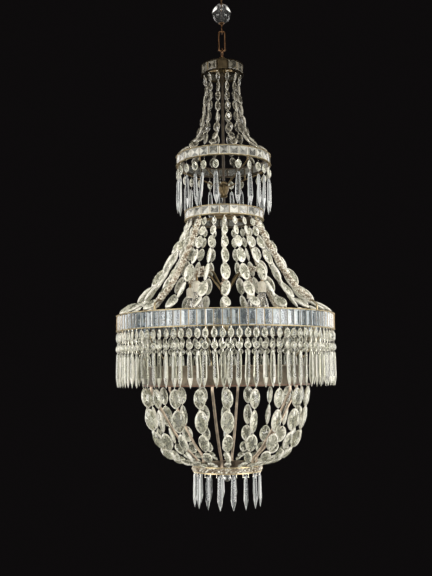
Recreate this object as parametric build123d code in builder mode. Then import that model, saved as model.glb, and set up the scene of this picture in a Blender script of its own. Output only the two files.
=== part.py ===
"""Tent-and-bag crystal chandelier, in millimetres.

The origin is the centre of the bore in the suspension eye, from which everything hangs, and +Z is up,
so every height below is negative. Angles are measured round Z from +X; the front of the chandelier
faces -Y. Strands of cut crystals run from ring to ring, and fringes of spear prisms hang from the rings.
"""

import os
from math import cos, hypot, radians, sin, sqrt

from build123d import *

os.makedirs("parts", exist_ok=True)

# ---------------------------------------------------------------- driving dimensions

FRONT = -90.0  # angle of the side that is seen first
FIT = 0.05  # radial clearance between a rod and the bore that it passes through

# Rings: face radius, top and bottom.
CROWN_R, CROWN_TOP, CROWN_BOTTOM = 59.0, -241.0, -270.0
UPPER_R, UPPER_TOP, UPPER_BOTTOM = 133.0, -508.0, -535.5
NECK_R, NECK_TOP, NECK_BOTTOM = 110.7, -665.5, -692.0
MAIN_R, MAIN_TOP, MAIN_BOTTOM = 300.0, -959.0, -1003.5
BASKET_R, BASKET_TOP, BASKET_BOTTOM = 228.0, -1098.0, -1151.0
BOTTOM_R, BOTTOM_TOP, BOTTOM_BOTTOM = 94.0, -1364.0, -1382.0
RING_WALL = 1.6
RING_FLANGE = 2.2
RING_PROUD = 0.8  # how far the flanges stand out past the crystals
SEAT_GAP = 0.6  # between a plate crystal and the wall behind it
WINDOW_LIP, WINDOW_RIM = 1.2, 1.5  # what is left of the wall beside, above and below each window

# Plate crystals set round the rings: how many, their width, and the places whose wall is closed.
CROWN_PLATES, CROWN_PLATE_W, CROWN_CLOSED = 12, 25.0, (0, 3, 6, 9)
UPPER_PLATES, UPPER_PLATE_W = 30, 25.6
NECK_PLATES, NECK_PLATE_W, NECK_CLOSED = 26, 24.6, (4, 10, 17, 23)
SQUARE_PLATE_T, PLAQUE_T = 4.4, 5.2
BAGUETTES, BAGUETTE_W, BAGUETTE_T, MAIN_CLOSED = 90, 19.2, 7.0, (2, 24, 47, 69)
SQUARE_BEVEL, BAGUETTE_BEVEL = 2.6, 3.4

# Suspension: hinge heights and link sections.
EYE_BORE_R, EYE_R, EYE_T, EYE_EDGE = 8.0, 17.0, 9.0, 1.6
EYE_NECK_R, EYE_NECK_H = 4.0, 8.0
PIVOT_1, PIVOT_2, PIVOT_3 = -38.0, -143.0, -196.0
EYE_WIRE, STEM_WIRE, LINK_WIRE, LOOP_WIRE = 3.0, 2.2, 2.5, 3.0
EYE_HALF_W, STEM_HALF_W, LINK_HALF_W, CROWN_LOOP_R = 10.0, 7.0, 8.5, 9.0
BAR_HALF_L = 3.2  # half the straight bar on which the next loop swings
LINK_PLAY = 0.3
BALL_MID, BALL_HALF_H, BALL_R, BALL_FLAT_R = -85.0, 27.7, 26.75, 8.0
BALL_BORE_PLAY = 0.2
STEM_ROD_R = 2.5
CAP_OUTLINE = [(BALL_FLAT_R, 0.0), (7.0, 1.4), (4.2, 4.3)]  # radius, height off the ball

# Central rod and what it carries.
ROD_R, ROD_TOP, ROD_BOTTOM = 3.8, -240.0, -994.0
ROD_LOW_R, ROD_STEP = 5.0, -690.0  # the rod is thicker below the neck
CROWN_HUB_TOP, CROWN_HUB_BOTTOM, CROWN_HUB_R = -216.0, -262.0, 9.0
UPPER_HUB_TOP, UPPER_HUB_BOTTOM, UPPER_HUB_R = -579.0, -625.0, 14.0
NECK_HUB_TOP, NECK_HUB_BOTTOM, NECK_HUB_R = -672.0, -688.0, 9.0
COLLAR_TOP, COLLAR_BOTTOM = -852.0, -884.0
ARM_HUB_TOP, ARM_HUB_BOTTOM, ARM_HUB_R = -884.0, -902.0, 11.0
MAIN_HUB_TOP, MAIN_HUB_BOTTOM, MAIN_HUB_R = -962.0, -984.0, 15.0

# Strands of ovals: number, angle of the first, and for each oval its pitch, width and thickness.
WIRE_R = 0.6
CRIMP_R, CRIMP_L, LEG_START = 1.2, 2.4, 0.7
WIRE_GAP = 2.4  # wire that shows at each end of an oval
CROWN_STRANDS, CROWN_PHASE = 12, FRONT + 15.0
CROWN_PROFILE = [(54, -275), (46, -303), (50, -335), (54, -367), (58, -395), (66, -431),
                 (79, -462), (103, -487), (129, -504)]
CROWN_OVALS = [(26, 12, 7), (28, 13.5, 7.5), (30, 15, 8), (32, 16, 8.5), (33, 17.5, 9),
               (34, 19, 9), (36, 20, 9), (36, 20, 9)]
TENT_STRANDS, TENT_PHASE = 24, FRONT
TENT_PROFILE = [(104.5, -697), (118, -738), (137, -769), (159, -809), (184, -852), (219, -902),
                (258, -937), (295, -955)]
TENT_OVALS = [(24, 13, 7), (31, 18, 8.5), (40, 21, 9), (48, 24, 10), (55, 27, 10.5), (58, 28, 11),
              (52, 26, 10)]
BASKET_STRANDS, BASKET_PHASE = 20, FRONT
BASKET_PROFILE = [(227, -1155), (219, -1208), (204, -1270), (180, -1318), (150, -1347),
                  (119, -1357), (91, -1360)]
BASKET_OVALS = [(55, 32, 12), (64, 35, 12.5), (53, 31, 12), (42, 25, 10.5), (34, 19, 9), (30, 14, 8)]

# Fringes.
SPEAR_L, SPEAR_W, SPEAR_T = 90.0, 15.0, 9.0
FRINGE_R, FRINGE_DROPS, FRINGE_PHASE = 297.5, 90, FRONT + 2.0
FRINGE_OVAL = (24.0, 15.5, 7.5)
FRINGE_ROUND = (18.0, 17.5, 9.0)
FRINGE_OVAL_TOP, FRINGE_ROUND_TOP, FRINGE_SPEAR_TOP = -1008.5, -1041.5, -1064.0
UPPER_FRINGE_R, UPPER_FRINGE_PLACES, UPPER_FRINGE_PHASE = 130.0, 26, FRONT + 4.0
UPPER_OVAL = (25.0, 17.0, 8.0)
UPPER_OVAL_TOP, UPPER_SPEAR_TOP = -547.0, -580.0

# Beaded stays and lamps inside the tent.
STAYS, STAY_PHASE, STAY_ROD_R, STAY_SLEEVE_R = 4, FRONT + 52.5, 2.5, 8.0
STAY_PATH = [(108, NECK_BOTTOM), (108, -700), (148, -771), (197, -851), (236, -898), (274, -929),
             (294, -943), (294, MAIN_TOP)]
STAY_BENDS = [9, 140, 140, 120, 60, 9]
SLEEVE_SKIP_TOP, SLEEVE_SKIP_END = -702.0, 280.0  # height and radius where the beading stops
LAMPS, LAMP_R, LAMP_TUBE_R = 4, 125.0, 3.0
HOLDER_TOP, HOLDER_H, HOLDER_R = -872.0, 30.0, 11.0
BULB_R, BULB_H = 17.0, 78.0

# Basket frame.
RIBS, RIB_PHASE, RIB_R = 6, FRONT - 10.0, 3.5
RIB_PATH = [(213.5, -1151), (213.5, -1164), (155, -1265), (117, -1318), (86, -1348), (86, -1364)]
RIB_BENDS = [24, 160, 160, 20]
HANGER_R, HANGER_BENDS = 1.75, [6, 6]
HANGER_PATH = [(291.8, -1003.5), (291.8, -1014), (225, -1086), (225, -1098)]

# Bottom ring.
BOTTOM_WALL_OUT, BOTTOM_WALL_IN = 84.0, 81.5
BOTTOM_LOWER_T, BOTTOM_UPPER_T = 3.0, 2.4  # thickness of the two flanges
BOTTOM_CROSS_W, BOTTOM_CROSS_H, BOTTOM_HUB_R, BOTTOM_HUB_H = 5.0, 4.0, 9.0, 5.0
RING_BEADS, RING_BEAD_R, RING_BEAD_PLACE = 46, 5.9, 90.0
DROPS, DROP_PHASE, DROP_R = 16, FRONT + 9.3, 90.0
DROP_BAR_Z, DROP_BAR_R, DROP_HOLE_DOWN = -1391.0, 0.95, 5.0
STIRRUP_HALF_W, STIRRUP_LEG_R = 8.6, 0.8
FINIAL_R, FINIAL_MID = 10.0, -1401.0


# ---------------------------------------------------------------- shapes that repeat

STANDING = (Align.CENTER, Align.CENTER, Align.MIN)  # stands on its place
RADIAL = (Align.MIN, Align.CENTER, Align.CENTER)  # runs outwards from its place


def keep(builder, name):
    """Label a finished sub-part and write it."""
    builder.part.label = name
    export_step(builder.part, f"parts/{name}.step", write_pcurves=False)


def cut_glass(sections, width, thickness):
    """A flat six-sided crystal along Z: each section is (height, share of the full width)."""
    with BuildPart() as glass:
        for height, share in sections:
            w, t = width * share / 2, thickness * share / 2
            with BuildSketch(Plane.XY.offset(height)):
                with BuildLine():
                    Polyline((w, 0), (w / 2, t), (-w / 2, t), (-w, 0), (-w / 2, -t), (w / 2, -t), close=True)
                make_face()
        loft(ruled=True)
    return glass.part


def oval(length, width, thickness):
    """A faceted oval, blunt at both ends where its wires come out, centred on the origin."""
    half = length / 2
    sections = [(-half, 0.34), (-0.56 * half, 0.84), (0.0, 1.0), (0.56 * half, 0.84), (half, 0.34)]
    return cut_glass(sections, width, thickness)


def spear(length=SPEAR_L):
    """A spear prism that hangs down from the origin: narrow neck, widest low down, sharp point."""
    sections = [(-length, 0.05), (-0.73 * length, 1.0), (-0.06 * length, 0.72), (0.0, 0.5)]
    return cut_glass(sections, SPEAR_W, SPEAR_T)


def plate_glass(width, height, thickness, bevel):
    """A bevelled plate crystal whose face looks along +X."""
    with BuildPart() as glass:
        Box(thickness, width, height)
        chamfer(glass.faces().sort_by(Axis.X)[-1].edges(), length=bevel * 0.6, length2=bevel)
    return glass.part


def ring_channel(face_r, top, bottom, depth, count, plate_w, closed=()):
    """A ring of channel section, open outwards, in which the plate crystals sit, with a window behind each.

    The places in closed have no window: an arm or a plaque is fastened there.
    """
    wall_out = face_r - depth - SEAT_GAP
    wall_in = wall_out - RING_WALL
    rim = face_r + RING_PROUD
    window_h = top - bottom - 2 * (RING_FLANGE + WINDOW_RIM)
    middle = Location(((wall_in + wall_out) / 2, 0, (top + bottom) / 2))
    with BuildPart() as ring:
        with BuildSketch(Plane.XZ):
            with BuildLine():
                Polyline((wall_in, bottom), (rim, bottom), (rim, bottom + RING_FLANGE),
                         (wall_out, bottom + RING_FLANGE), (wall_out, top - RING_FLANGE),
                         (rim, top - RING_FLANGE), (rim, top), (wall_in, top), close=True)
            make_face()
        revolve(axis=Axis.Z)
        turns = [Rotation(0, 0, FRONT + k * 360.0 / count) for k in range(count) if k not in closed]
        with Locations(*[turn * middle for turn in turns]):
            Box(3 * RING_WALL, plate_w - 2 * WINDOW_LIP, window_h, mode=Mode.SUBTRACT)
    return ring.part


def inner_radius(face_r, depth):
    """Radius of the inside of a channel ring."""
    return face_r - depth - SEAT_GAP - RING_WALL


def turned(outline, bore_r=0.0):
    """A turned piece from its (radius, height) outline, with an optional bore."""
    with BuildPart() as piece:
        with BuildSketch(Plane.XZ):
            with BuildLine():
                Polyline(*[(bore_r, outline[0][1]), *outline, (bore_r, outline[-1][1])], close=True)
            make_face()
        revolve(axis=Axis.Z)
    return piece.part


def bent_bar(path, bends, bar_r, bore_r=0.0):
    """A round bar or tube in the XZ plane along (radius, height) points, with its bend radii."""
    points = [(x, 0, z) for x, z in path]
    with BuildPart() as bar:
        with BuildLine() as route:
            FilletPolyline(*points, radius=bends)
        start = Plane(origin=route.line @ 0, z_dir=route.line % 0)
        with BuildSketch(start):
            Circle(bar_r)
            if bore_r:
                Circle(bore_r, mode=Mode.SUBTRACT)
        sweep()
    return bar.part


def walk(profile, pitches):
    """Points along a polyline of (radius, height), set apart in the ratio of the pitches."""
    steps = [hypot(b[0] - a[0], b[1] - a[1]) for a, b in zip(profile, profile[1:])]
    scale = sum(steps) / sum(pitches)
    points, run = [profile[0]], 0.0
    for pitch in pitches:
        run += pitch * scale
        left, k = run, 0
        while k < len(steps) - 1 and left > steps[k]:
            left -= steps[k]
            k += 1
        share = min(left / steps[k], 1.0)
        a, b = profile[k], profile[k + 1]
        points.append((a[0] + share * (b[0] - a[0]), a[1] + share * (b[1] - a[1])))
    return points


def strand_ovals(profile, ovals):
    """The crystals of one strand at angle 0, as (solid, seat) pairs."""
    points = walk(profile, [pitch for pitch, _, _ in ovals])
    placed = []
    for (low, high), (_, width, thickness) in zip(zip(points[1:], points), ovals):
        span = hypot(high[0] - low[0], high[1] - low[1])
        seat = Plane(
            origin=((low[0] + high[0]) / 2, 0, (low[1] + high[1]) / 2),
            x_dir=(0, 1, 0),
            z_dir=(high[0] - low[0], 0, high[1] - low[1]),
        )
        placed.append((oval(span - 2 * WIRE_GAP, width, thickness), seat.location))
    return placed


def wire_joint(place, legs):
    """A crimp on the wire at a (radius, height) place, with a (direction, length) leg out of each end."""
    origin = Vector(place[0], 0, place[1])
    first, last = [Vector(*direction).normalized() for direction, _ in legs]
    with BuildPart() as joint:
        with Locations(Plane(origin=origin, z_dir=first - last).location):
            Cylinder(CRIMP_R, CRIMP_L)
        for direction, (_, length) in zip((first, last), legs):
            with Locations(Plane(origin=origin + direction * LEG_START, z_dir=direction).location):
                Cylinder(WIRE_R, length - LEG_START, align=STANDING)
    return joint.part


def strand_wires(profile, ovals, top, bottom):
    """The wire joints of one strand, tied to the faces at heights top and bottom."""
    points = walk(profile, [pitch for pitch, _, _ in ovals])
    joints = []
    for k, here in enumerate(points):
        legs = []
        if k == 0:
            legs.append(((0, 0, 1), top - here[1]))
        else:
            legs.append(((points[k - 1][0] - here[0], 0, points[k - 1][1] - here[1]), WIRE_GAP))
        if k == len(points) - 1:
            legs.append(((0, 0, -1), here[1] - bottom))
        else:
            legs.append(((points[k + 1][0] - here[0], 0, points[k + 1][1] - here[1]), WIRE_GAP))
        joints.append(wire_joint(here, legs))
    return joints


def wire_loop(plane, half_w, low, high, wire_r):
    """A closed loop of round wire in an upright plane, with a straight bar across each end."""
    corners = [(half_w, low), (half_w, high), (-half_w, high), (-half_w, low)]
    with BuildPart() as loop:
        with BuildLine(plane) as route:
            FilletPolyline(*corners, radius=half_w - BAR_HALF_L, close=True)
        with BuildSketch(Plane(origin=route.line @ 0, z_dir=route.line % 0)):
            Circle(wire_r)
        sweep()
    return loop.part


def reach(radius, width):
    """How far a flat-ended bar of this width goes before its corners meet a bore of this radius."""
    return sqrt(radius**2 - (width / 2) ** 2) - 0.02


# ---------------------------------------------------------------- suspension

with BuildPart() as suspension_eye:
    Cylinder(EYE_R, EYE_T, rotation=(90, 0, 0))
    Cylinder(EYE_BORE_R, EYE_T, rotation=(90, 0, 0), mode=Mode.SUBTRACT)
    chamfer(suspension_eye.edges().filter_by(GeomType.CIRCLE).sort_by(SortBy.RADIUS)[-2:], length=EYE_EDGE)
    add(wire_loop(Plane.XZ, EYE_HALF_W, PIVOT_1, PIVOT_1 + 2 * EYE_HALF_W, EYE_WIRE))
    with Locations((0, 0, -EYE_R)):
        Cylinder(EYE_NECK_R, EYE_NECK_H)
keep(suspension_eye, "suspension_eye")

STEM_TOP = PIVOT_1 + EYE_WIRE + LINK_PLAY + STEM_WIRE
STEM_ROD_TOP, STEM_ROD_BOTTOM = STEM_TOP - 2 * STEM_HALF_W, PIVOT_2 + 2 * STEM_HALF_W
with BuildPart() as ball_stem:
    add(wire_loop(Plane.YZ, STEM_HALF_W, STEM_ROD_TOP, STEM_TOP, STEM_WIRE))
    add(wire_loop(Plane.YZ, STEM_HALF_W, PIVOT_2, STEM_ROD_BOTTOM, STEM_WIRE))
    with BuildSketch(Plane.XY.offset(STEM_ROD_BOTTOM)):
        Circle(STEM_ROD_R)
    extrude(amount=STEM_ROD_TOP - STEM_ROD_BOTTOM)
keep(ball_stem, "ball_stem")

with BuildPart() as glass_ball:
    with BuildSketch(Plane.XZ):
        with BuildLine():
            bore_r = STEM_ROD_R + BALL_BORE_PLAY
            Line((bore_r, BALL_MID + BALL_HALF_H), (BALL_FLAT_R, BALL_MID + BALL_HALF_H))
            ThreePointArc((BALL_FLAT_R, BALL_MID + BALL_HALF_H), (BALL_R, BALL_MID),
                          (BALL_FLAT_R, BALL_MID - BALL_HALF_H))
            Line((BALL_FLAT_R, BALL_MID - BALL_HALF_H), (bore_r, BALL_MID - BALL_HALF_H))
            Line((bore_r, BALL_MID - BALL_HALF_H), (bore_r, BALL_MID + BALL_HALF_H))
        make_face()
    revolve(axis=Axis.Z)
keep(glass_ball, "glass_ball")

with BuildPart() as ball_caps:
    for side in (1, -1):
        outline = [(r, BALL_MID + side * (BALL_HALF_H + h)) for r, h in CAP_OUTLINE]
        add(turned(outline, STEM_ROD_R + FIT))
keep(ball_caps, "ball_caps")

LINK_TOP = PIVOT_2 + STEM_WIRE + LINK_PLAY + LINK_WIRE
with BuildPart() as hook_link:
    add(wire_loop(Plane.XZ, LINK_HALF_W, PIVOT_3, LINK_TOP, LINK_WIRE))
keep(hook_link, "hook_link")

CROWN_LOOP_MID = PIVOT_3 + LINK_WIRE + LINK_PLAY + LOOP_WIRE - CROWN_LOOP_R
with BuildPart() as crown_loop:
    with Locations((0, 0, CROWN_LOOP_MID)):
        Torus(CROWN_LOOP_R, LOOP_WIRE, rotation=(0, 90, 0))
    add(turned([(4.0, CROWN_LOOP_MID - CROWN_LOOP_R), (4.5, CROWN_HUB_TOP + 2.5), (7.0, CROWN_HUB_TOP + 1.5),
                (7.0, CROWN_HUB_TOP)]))
keep(crown_loop, "crown_loop")

# ---------------------------------------------------------------- crown

CROWN_IN = inner_radius(CROWN_R, SQUARE_PLATE_T)
SPOKE_W, SPOKE_H, SPOKE_Z = 6.0, 6.0, -255.0
GLAND_PLACE, GLAND_BORE_R = 36.0, 3.2
GLAND_R, GLAND_H, GLAND_FOOT_R, GLAND_FOOT_H, GLAND_BOSS_R = 4.5, 11.0, 6.5, 3.0, 8.0

with BuildPart() as crown_spider:
    add(turned([(6.0, CROWN_HUB_TOP), (9.0, CROWN_HUB_TOP - 6), (6.5, CROWN_HUB_TOP - 12),
                (11.0, CROWN_HUB_TOP - 22), (11.0, CROWN_HUB_TOP - 30), (CROWN_HUB_R, CROWN_HUB_BOTTOM)]))
    for angle in range(0, 360, 90):
        with Locations(Rotation(0, 0, angle)):
            with Locations((0, 0, SPOKE_Z)):
                Box(reach(CROWN_IN, SPOKE_W), SPOKE_W, SPOKE_H, align=RADIAL)
    with Locations((GLAND_PLACE, 0, SPOKE_Z)):
        Cylinder(GLAND_BOSS_R, SPOKE_H)
        Cylinder(GLAND_BORE_R, SPOKE_H, mode=Mode.SUBTRACT)
    with BuildSketch(Plane.XY.offset(CROWN_HUB_BOTTOM)):
        Circle(ROD_R + FIT)
    extrude(amount=ROD_TOP - CROWN_HUB_BOTTOM, mode=Mode.SUBTRACT)
keep(crown_spider, "crown_spider")

with BuildPart() as cable_gland:
    with Locations((GLAND_PLACE, 0, SPOKE_Z + SPOKE_H / 2)):
        Cylinder(GLAND_FOOT_R, GLAND_FOOT_H, align=STANDING)
        Cylinder(GLAND_R, GLAND_H, align=STANDING)
        Cylinder(GLAND_BORE_R, GLAND_H, align=STANDING, mode=Mode.SUBTRACT)
keep(cable_gland, "cable_gland")

with BuildPart() as crown_ring:
    add(ring_channel(CROWN_R, CROWN_TOP, CROWN_BOTTOM, SQUARE_PLATE_T, CROWN_PLATES, CROWN_PLATE_W,
                     CROWN_CLOSED))
    plaque_h = CROWN_TOP - CROWN_BOTTOM - RING_FLANGE
    with Locations(Rotation(0, 0, FRONT)):
        with Locations((CROWN_R - SEAT_GAP, 0, (CROWN_TOP + CROWN_BOTTOM) / 2)):
            Box(PLAQUE_T, CROWN_PLATE_W, plaque_h, align=(Align.MAX, Align.CENTER, Align.CENTER))
keep(crown_ring, "crown_ring")


def set_plates(face_r, top, bottom, count, first, width, thickness, bevel, skip=()):
    """Locations and shape of the plate crystals of one ring; skip leaves out places by number."""
    height = top - bottom - 2 * RING_FLANGE - 0.4
    middle = (top + bottom) / 2 - 0.2
    shape = plate_glass(width, height, thickness, bevel)
    turn = 360.0 / count
    spots = [
        Rotation(0, 0, first + k * turn) * Location((face_r - thickness / 2, 0, middle))
        for k in range(count)
        if k not in skip
    ]
    return shape, spots


with BuildPart() as crown_ring_crystals:
    plate, spots = set_plates(CROWN_R, CROWN_TOP, CROWN_BOTTOM, CROWN_PLATES, FRONT, CROWN_PLATE_W,
                              SQUARE_PLATE_T, SQUARE_BEVEL, skip=(0,))
    with Locations(*spots):
        add(plate)
keep(crown_ring_crystals, "crown_ring_crystals")


def strand_node(count, phase, solids_and_seats):
    """Every strand of a tier, from the pieces of one strand and their seats."""
    with BuildPart() as node:
        for solid, seat in solids_and_seats:
            with PolarLocations(0, count, start_angle=phase):
                with Locations(seat):
                    add(solid)
    return node


with BuildPart() as crown_strand_ovals:
    add(strand_node(CROWN_STRANDS, CROWN_PHASE, strand_ovals(CROWN_PROFILE, CROWN_OVALS)).part)
keep(crown_strand_ovals, "crown_strand_ovals")

# ---------------------------------------------------------------- central rod and hubs

with BuildPart() as central_rod:
    with BuildSketch(Plane.XY.offset(ROD_BOTTOM)):
        Circle(ROD_LOW_R)
    extrude(amount=ROD_STEP - ROD_BOTTOM)
    with BuildSketch(Plane.XY.offset(ROD_STEP)):
        Circle(ROD_R)
    extrude(amount=ROD_TOP - ROD_STEP)
keep(central_rod, "central_rod")

UPPER_ARM_PATH = [(8, -596), (116, -552), (129, -545), (129, UPPER_BOTTOM)]
UPPER_ARM_BENDS, UPPER_ARM_R = [30, 6], 2.0
UPPER_ARMS, UPPER_ARM_PHASE = 6, FRONT + 30.0
with BuildPart() as upper_spider:
    add(turned([(7.0, UPPER_HUB_TOP), (9.0, UPPER_HUB_TOP - 4), (7.5, UPPER_HUB_TOP - 8),
                (UPPER_HUB_R, UPPER_HUB_TOP - 14), (UPPER_HUB_R, UPPER_HUB_TOP - 26),
                (9.0, UPPER_HUB_BOTTOM + 8), (10.5, UPPER_HUB_BOTTOM + 4), (6.5, UPPER_HUB_BOTTOM)]))
    with PolarLocations(0, UPPER_ARMS, start_angle=UPPER_ARM_PHASE):
        add(bent_bar(UPPER_ARM_PATH, UPPER_ARM_BENDS, UPPER_ARM_R))
    with BuildSketch(Plane.XY.offset(UPPER_HUB_BOTTOM)):
        Circle(ROD_R + FIT)
    extrude(amount=UPPER_HUB_TOP - UPPER_HUB_BOTTOM, mode=Mode.SUBTRACT)
keep(upper_spider, "upper_spider")

NECK_IN = inner_radius(NECK_R, SQUARE_PLATE_T)
NECK_ARM_W, NECK_ARM_H = 5.0, 7.0
with BuildPart() as neck_spider:
    with PolarLocations(0, STAYS, start_angle=STAY_PHASE):
        with Locations((0, 0, (NECK_HUB_TOP + NECK_HUB_BOTTOM) / 2)):
            Box(reach(NECK_IN, NECK_ARM_W), NECK_ARM_W, NECK_ARM_H, align=RADIAL)
    add(turned([(NECK_HUB_R, NECK_HUB_TOP), (NECK_HUB_R, NECK_HUB_BOTTOM)]))
    with BuildSketch(Plane.XY.offset(NECK_HUB_BOTTOM)):
        Circle(ROD_R + FIT)
    extrude(amount=NECK_HUB_TOP - NECK_HUB_BOTTOM, mode=Mode.SUBTRACT)
keep(neck_spider, "neck_spider")

with BuildPart() as rod_collar:
    add(turned([(7.0, COLLAR_TOP), (9.0, COLLAR_TOP - 4), (7.0, COLLAR_TOP - 8), (12.5, COLLAR_TOP - 15),
                (12.5, COLLAR_TOP - 19), (8.0, COLLAR_TOP - 25), (10.0, COLLAR_BOTTOM)], ROD_LOW_R + FIT))
keep(rod_collar, "rod_collar")

MAIN_IN = inner_radius(MAIN_R, BAGUETTE_T)
MAIN_ARM_W, MAIN_ARM_H = 8.0, 11.0
MAIN_ARMS, MAIN_ARM_PHASE = 4, FRONT + 7.0  # between the lamps
with BuildPart() as main_spider:
    with PolarLocations(0, MAIN_ARMS, start_angle=MAIN_ARM_PHASE):
        with Locations((0, 0, (MAIN_HUB_TOP + MAIN_HUB_BOTTOM) / 2)):
            Box(reach(MAIN_IN, MAIN_ARM_W), MAIN_ARM_W, MAIN_ARM_H, align=RADIAL)
    add(turned([(12.0, MAIN_HUB_TOP), (MAIN_HUB_R, MAIN_HUB_TOP - 4), (MAIN_HUB_R, MAIN_HUB_BOTTOM + 4),
                (12.0, MAIN_HUB_BOTTOM)]))
    with BuildSketch(Plane.XY.offset(MAIN_HUB_BOTTOM)):
        Circle(ROD_LOW_R + FIT)
    extrude(amount=MAIN_HUB_TOP - MAIN_HUB_BOTTOM, mode=Mode.SUBTRACT)
keep(main_spider, "main_spider")

with BuildPart() as rod_nut:
    add(turned([(9.0, MAIN_HUB_BOTTOM), (9.0, MAIN_HUB_BOTTOM - 6), (7.0, MAIN_HUB_BOTTOM - 12),
                (3.0, MAIN_HUB_BOTTOM - 18)]))
    with BuildSketch(Plane.XY.offset(MAIN_HUB_BOTTOM)):
        Circle(ROD_LOW_R + FIT)
    extrude(amount=ROD_BOTTOM - MAIN_HUB_BOTTOM, mode=Mode.SUBTRACT)
keep(rod_nut, "rod_nut")

# ---------------------------------------------------------------- rings and their crystals

with BuildPart() as upper_ring:
    add(ring_channel(UPPER_R, UPPER_TOP, UPPER_BOTTOM, SQUARE_PLATE_T, UPPER_PLATES, UPPER_PLATE_W))
keep(upper_ring, "upper_ring")

with BuildPart() as upper_ring_crystals:
    plate, spots = set_plates(UPPER_R, UPPER_TOP, UPPER_BOTTOM, UPPER_PLATES, FRONT, UPPER_PLATE_W,
                              SQUARE_PLATE_T, SQUARE_BEVEL)
    with Locations(*spots):
        add(plate)
keep(upper_ring_crystals, "upper_ring_crystals")

with BuildPart() as neck_ring:
    add(ring_channel(NECK_R, NECK_TOP, NECK_BOTTOM, SQUARE_PLATE_T, NECK_PLATES, NECK_PLATE_W, NECK_CLOSED))
keep(neck_ring, "neck_ring")

with BuildPart() as neck_ring_crystals:
    plate, spots = set_plates(NECK_R, NECK_TOP, NECK_BOTTOM, NECK_PLATES, FRONT, NECK_PLATE_W,
                              SQUARE_PLATE_T, SQUARE_BEVEL)
    with Locations(*spots):
        add(plate)
keep(neck_ring_crystals, "neck_ring_crystals")

with BuildPart() as main_ring:
    add(ring_channel(MAIN_R, MAIN_TOP, MAIN_BOTTOM, BAGUETTE_T, BAGUETTES, BAGUETTE_W, MAIN_CLOSED))
keep(main_ring, "main_ring")

with BuildPart() as main_ring_baguettes:
    plate, spots = set_plates(MAIN_R, MAIN_TOP, MAIN_BOTTOM, BAGUETTES, FRONT, BAGUETTE_W, BAGUETTE_T,
                              BAGUETTE_BEVEL)
    with Locations(*spots):
        add(plate)
keep(main_ring_baguettes, "main_ring_baguettes")

# ---------------------------------------------------------------- tent: strands, beaded stays, lamps

with BuildPart() as tent_strand_ovals:
    add(strand_node(TENT_STRANDS, TENT_PHASE, strand_ovals(TENT_PROFILE, TENT_OVALS)).part)
keep(tent_strand_ovals, "tent_strand_ovals")

with BuildPart() as tent_stays:
    with PolarLocations(0, STAYS, start_angle=STAY_PHASE):
        add(bent_bar(STAY_PATH, STAY_BENDS, STAY_ROD_R))
keep(tent_stays, "tent_stays")

with BuildPart() as stay_beading:
    with PolarLocations(0, STAYS, start_angle=STAY_PHASE):
        add(bent_bar(STAY_PATH, STAY_BENDS, STAY_SLEEVE_R, STAY_ROD_R + FIT))
    with BuildSketch(Plane.XY.offset(SLEEVE_SKIP_TOP)):
        Circle(MAIN_R)
    extrude(amount=NECK_TOP - SLEEVE_SKIP_TOP, mode=Mode.SUBTRACT)
    with BuildSketch(Plane.XY.offset(MAIN_BOTTOM)):
        Circle(MAIN_R + 20)
        Circle(SLEEVE_SKIP_END, mode=Mode.SUBTRACT)
    extrude(amount=NECK_TOP - MAIN_BOTTOM, mode=Mode.SUBTRACT)
keep(stay_beading, "stay_beading")

LAMP_PATH = [(8, -893), (58, -833), (LAMP_R, -838), (LAMP_R, HOLDER_TOP)]
LAMP_BENDS = [40, 24]
with BuildPart() as lamp_arms:
    add(turned([(ARM_HUB_R - 2, ARM_HUB_TOP), (ARM_HUB_R, ARM_HUB_TOP - 4), (ARM_HUB_R, ARM_HUB_BOTTOM + 4),
                (ARM_HUB_R - 3, ARM_HUB_BOTTOM)]))
    with PolarLocations(0, LAMPS, start_angle=STAY_PHASE):
        add(bent_bar(LAMP_PATH, LAMP_BENDS, LAMP_TUBE_R))
    with BuildSketch(Plane.XY.offset(ARM_HUB_BOTTOM)):
        Circle(ROD_LOW_R + FIT)
    extrude(amount=ARM_HUB_TOP - ARM_HUB_BOTTOM, mode=Mode.SUBTRACT)
keep(lamp_arms, "lamp_arms")

HOLDER_BOTTOM = HOLDER_TOP - HOLDER_H
with BuildPart() as lamp_holders:
    with PolarLocations(LAMP_R, LAMPS, start_angle=STAY_PHASE):
        add(turned([(6.0, HOLDER_TOP), (HOLDER_R, HOLDER_TOP - 5), (HOLDER_R, HOLDER_BOTTOM + 3),
                    (HOLDER_R + 1.5, HOLDER_BOTTOM)]))
keep(lamp_holders, "lamp_holders")

with BuildPart() as bulb:
    with BuildSketch(Plane.XZ):
        with BuildLine():
            Polyline((0, HOLDER_BOTTOM), (8.0, HOLDER_BOTTOM), (10.0, HOLDER_BOTTOM - 12))
            ThreePointArc((10.0, HOLDER_BOTTOM - 12), (BULB_R, HOLDER_BOTTOM - 38),
                          (6.0, HOLDER_BOTTOM - 70))
            Polyline((6.0, HOLDER_BOTTOM - 70), (2.0, HOLDER_BOTTOM - BULB_H), (0, HOLDER_BOTTOM - BULB_H),
                     (0, HOLDER_BOTTOM))
        make_face()
    revolve(axis=Axis.Z)

with BuildPart() as lamp_bulbs:
    with PolarLocations(LAMP_R, LAMPS, start_angle=STAY_PHASE):
        add(bulb.part)
keep(lamp_bulbs, "lamp_bulbs")

# ---------------------------------------------------------------- fringes

with BuildPart() as main_fringe_ovals:
    length = FRINGE_OVAL[0]
    with Locations((0, 0, FRINGE_OVAL_TOP - length / 2)):
        with PolarLocations(FRINGE_R, FRINGE_DROPS, start_angle=FRINGE_PHASE):
            add(oval(*FRINGE_OVAL), rotation=(0, 0, 90))
keep(main_fringe_ovals, "main_fringe_ovals")

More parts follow.
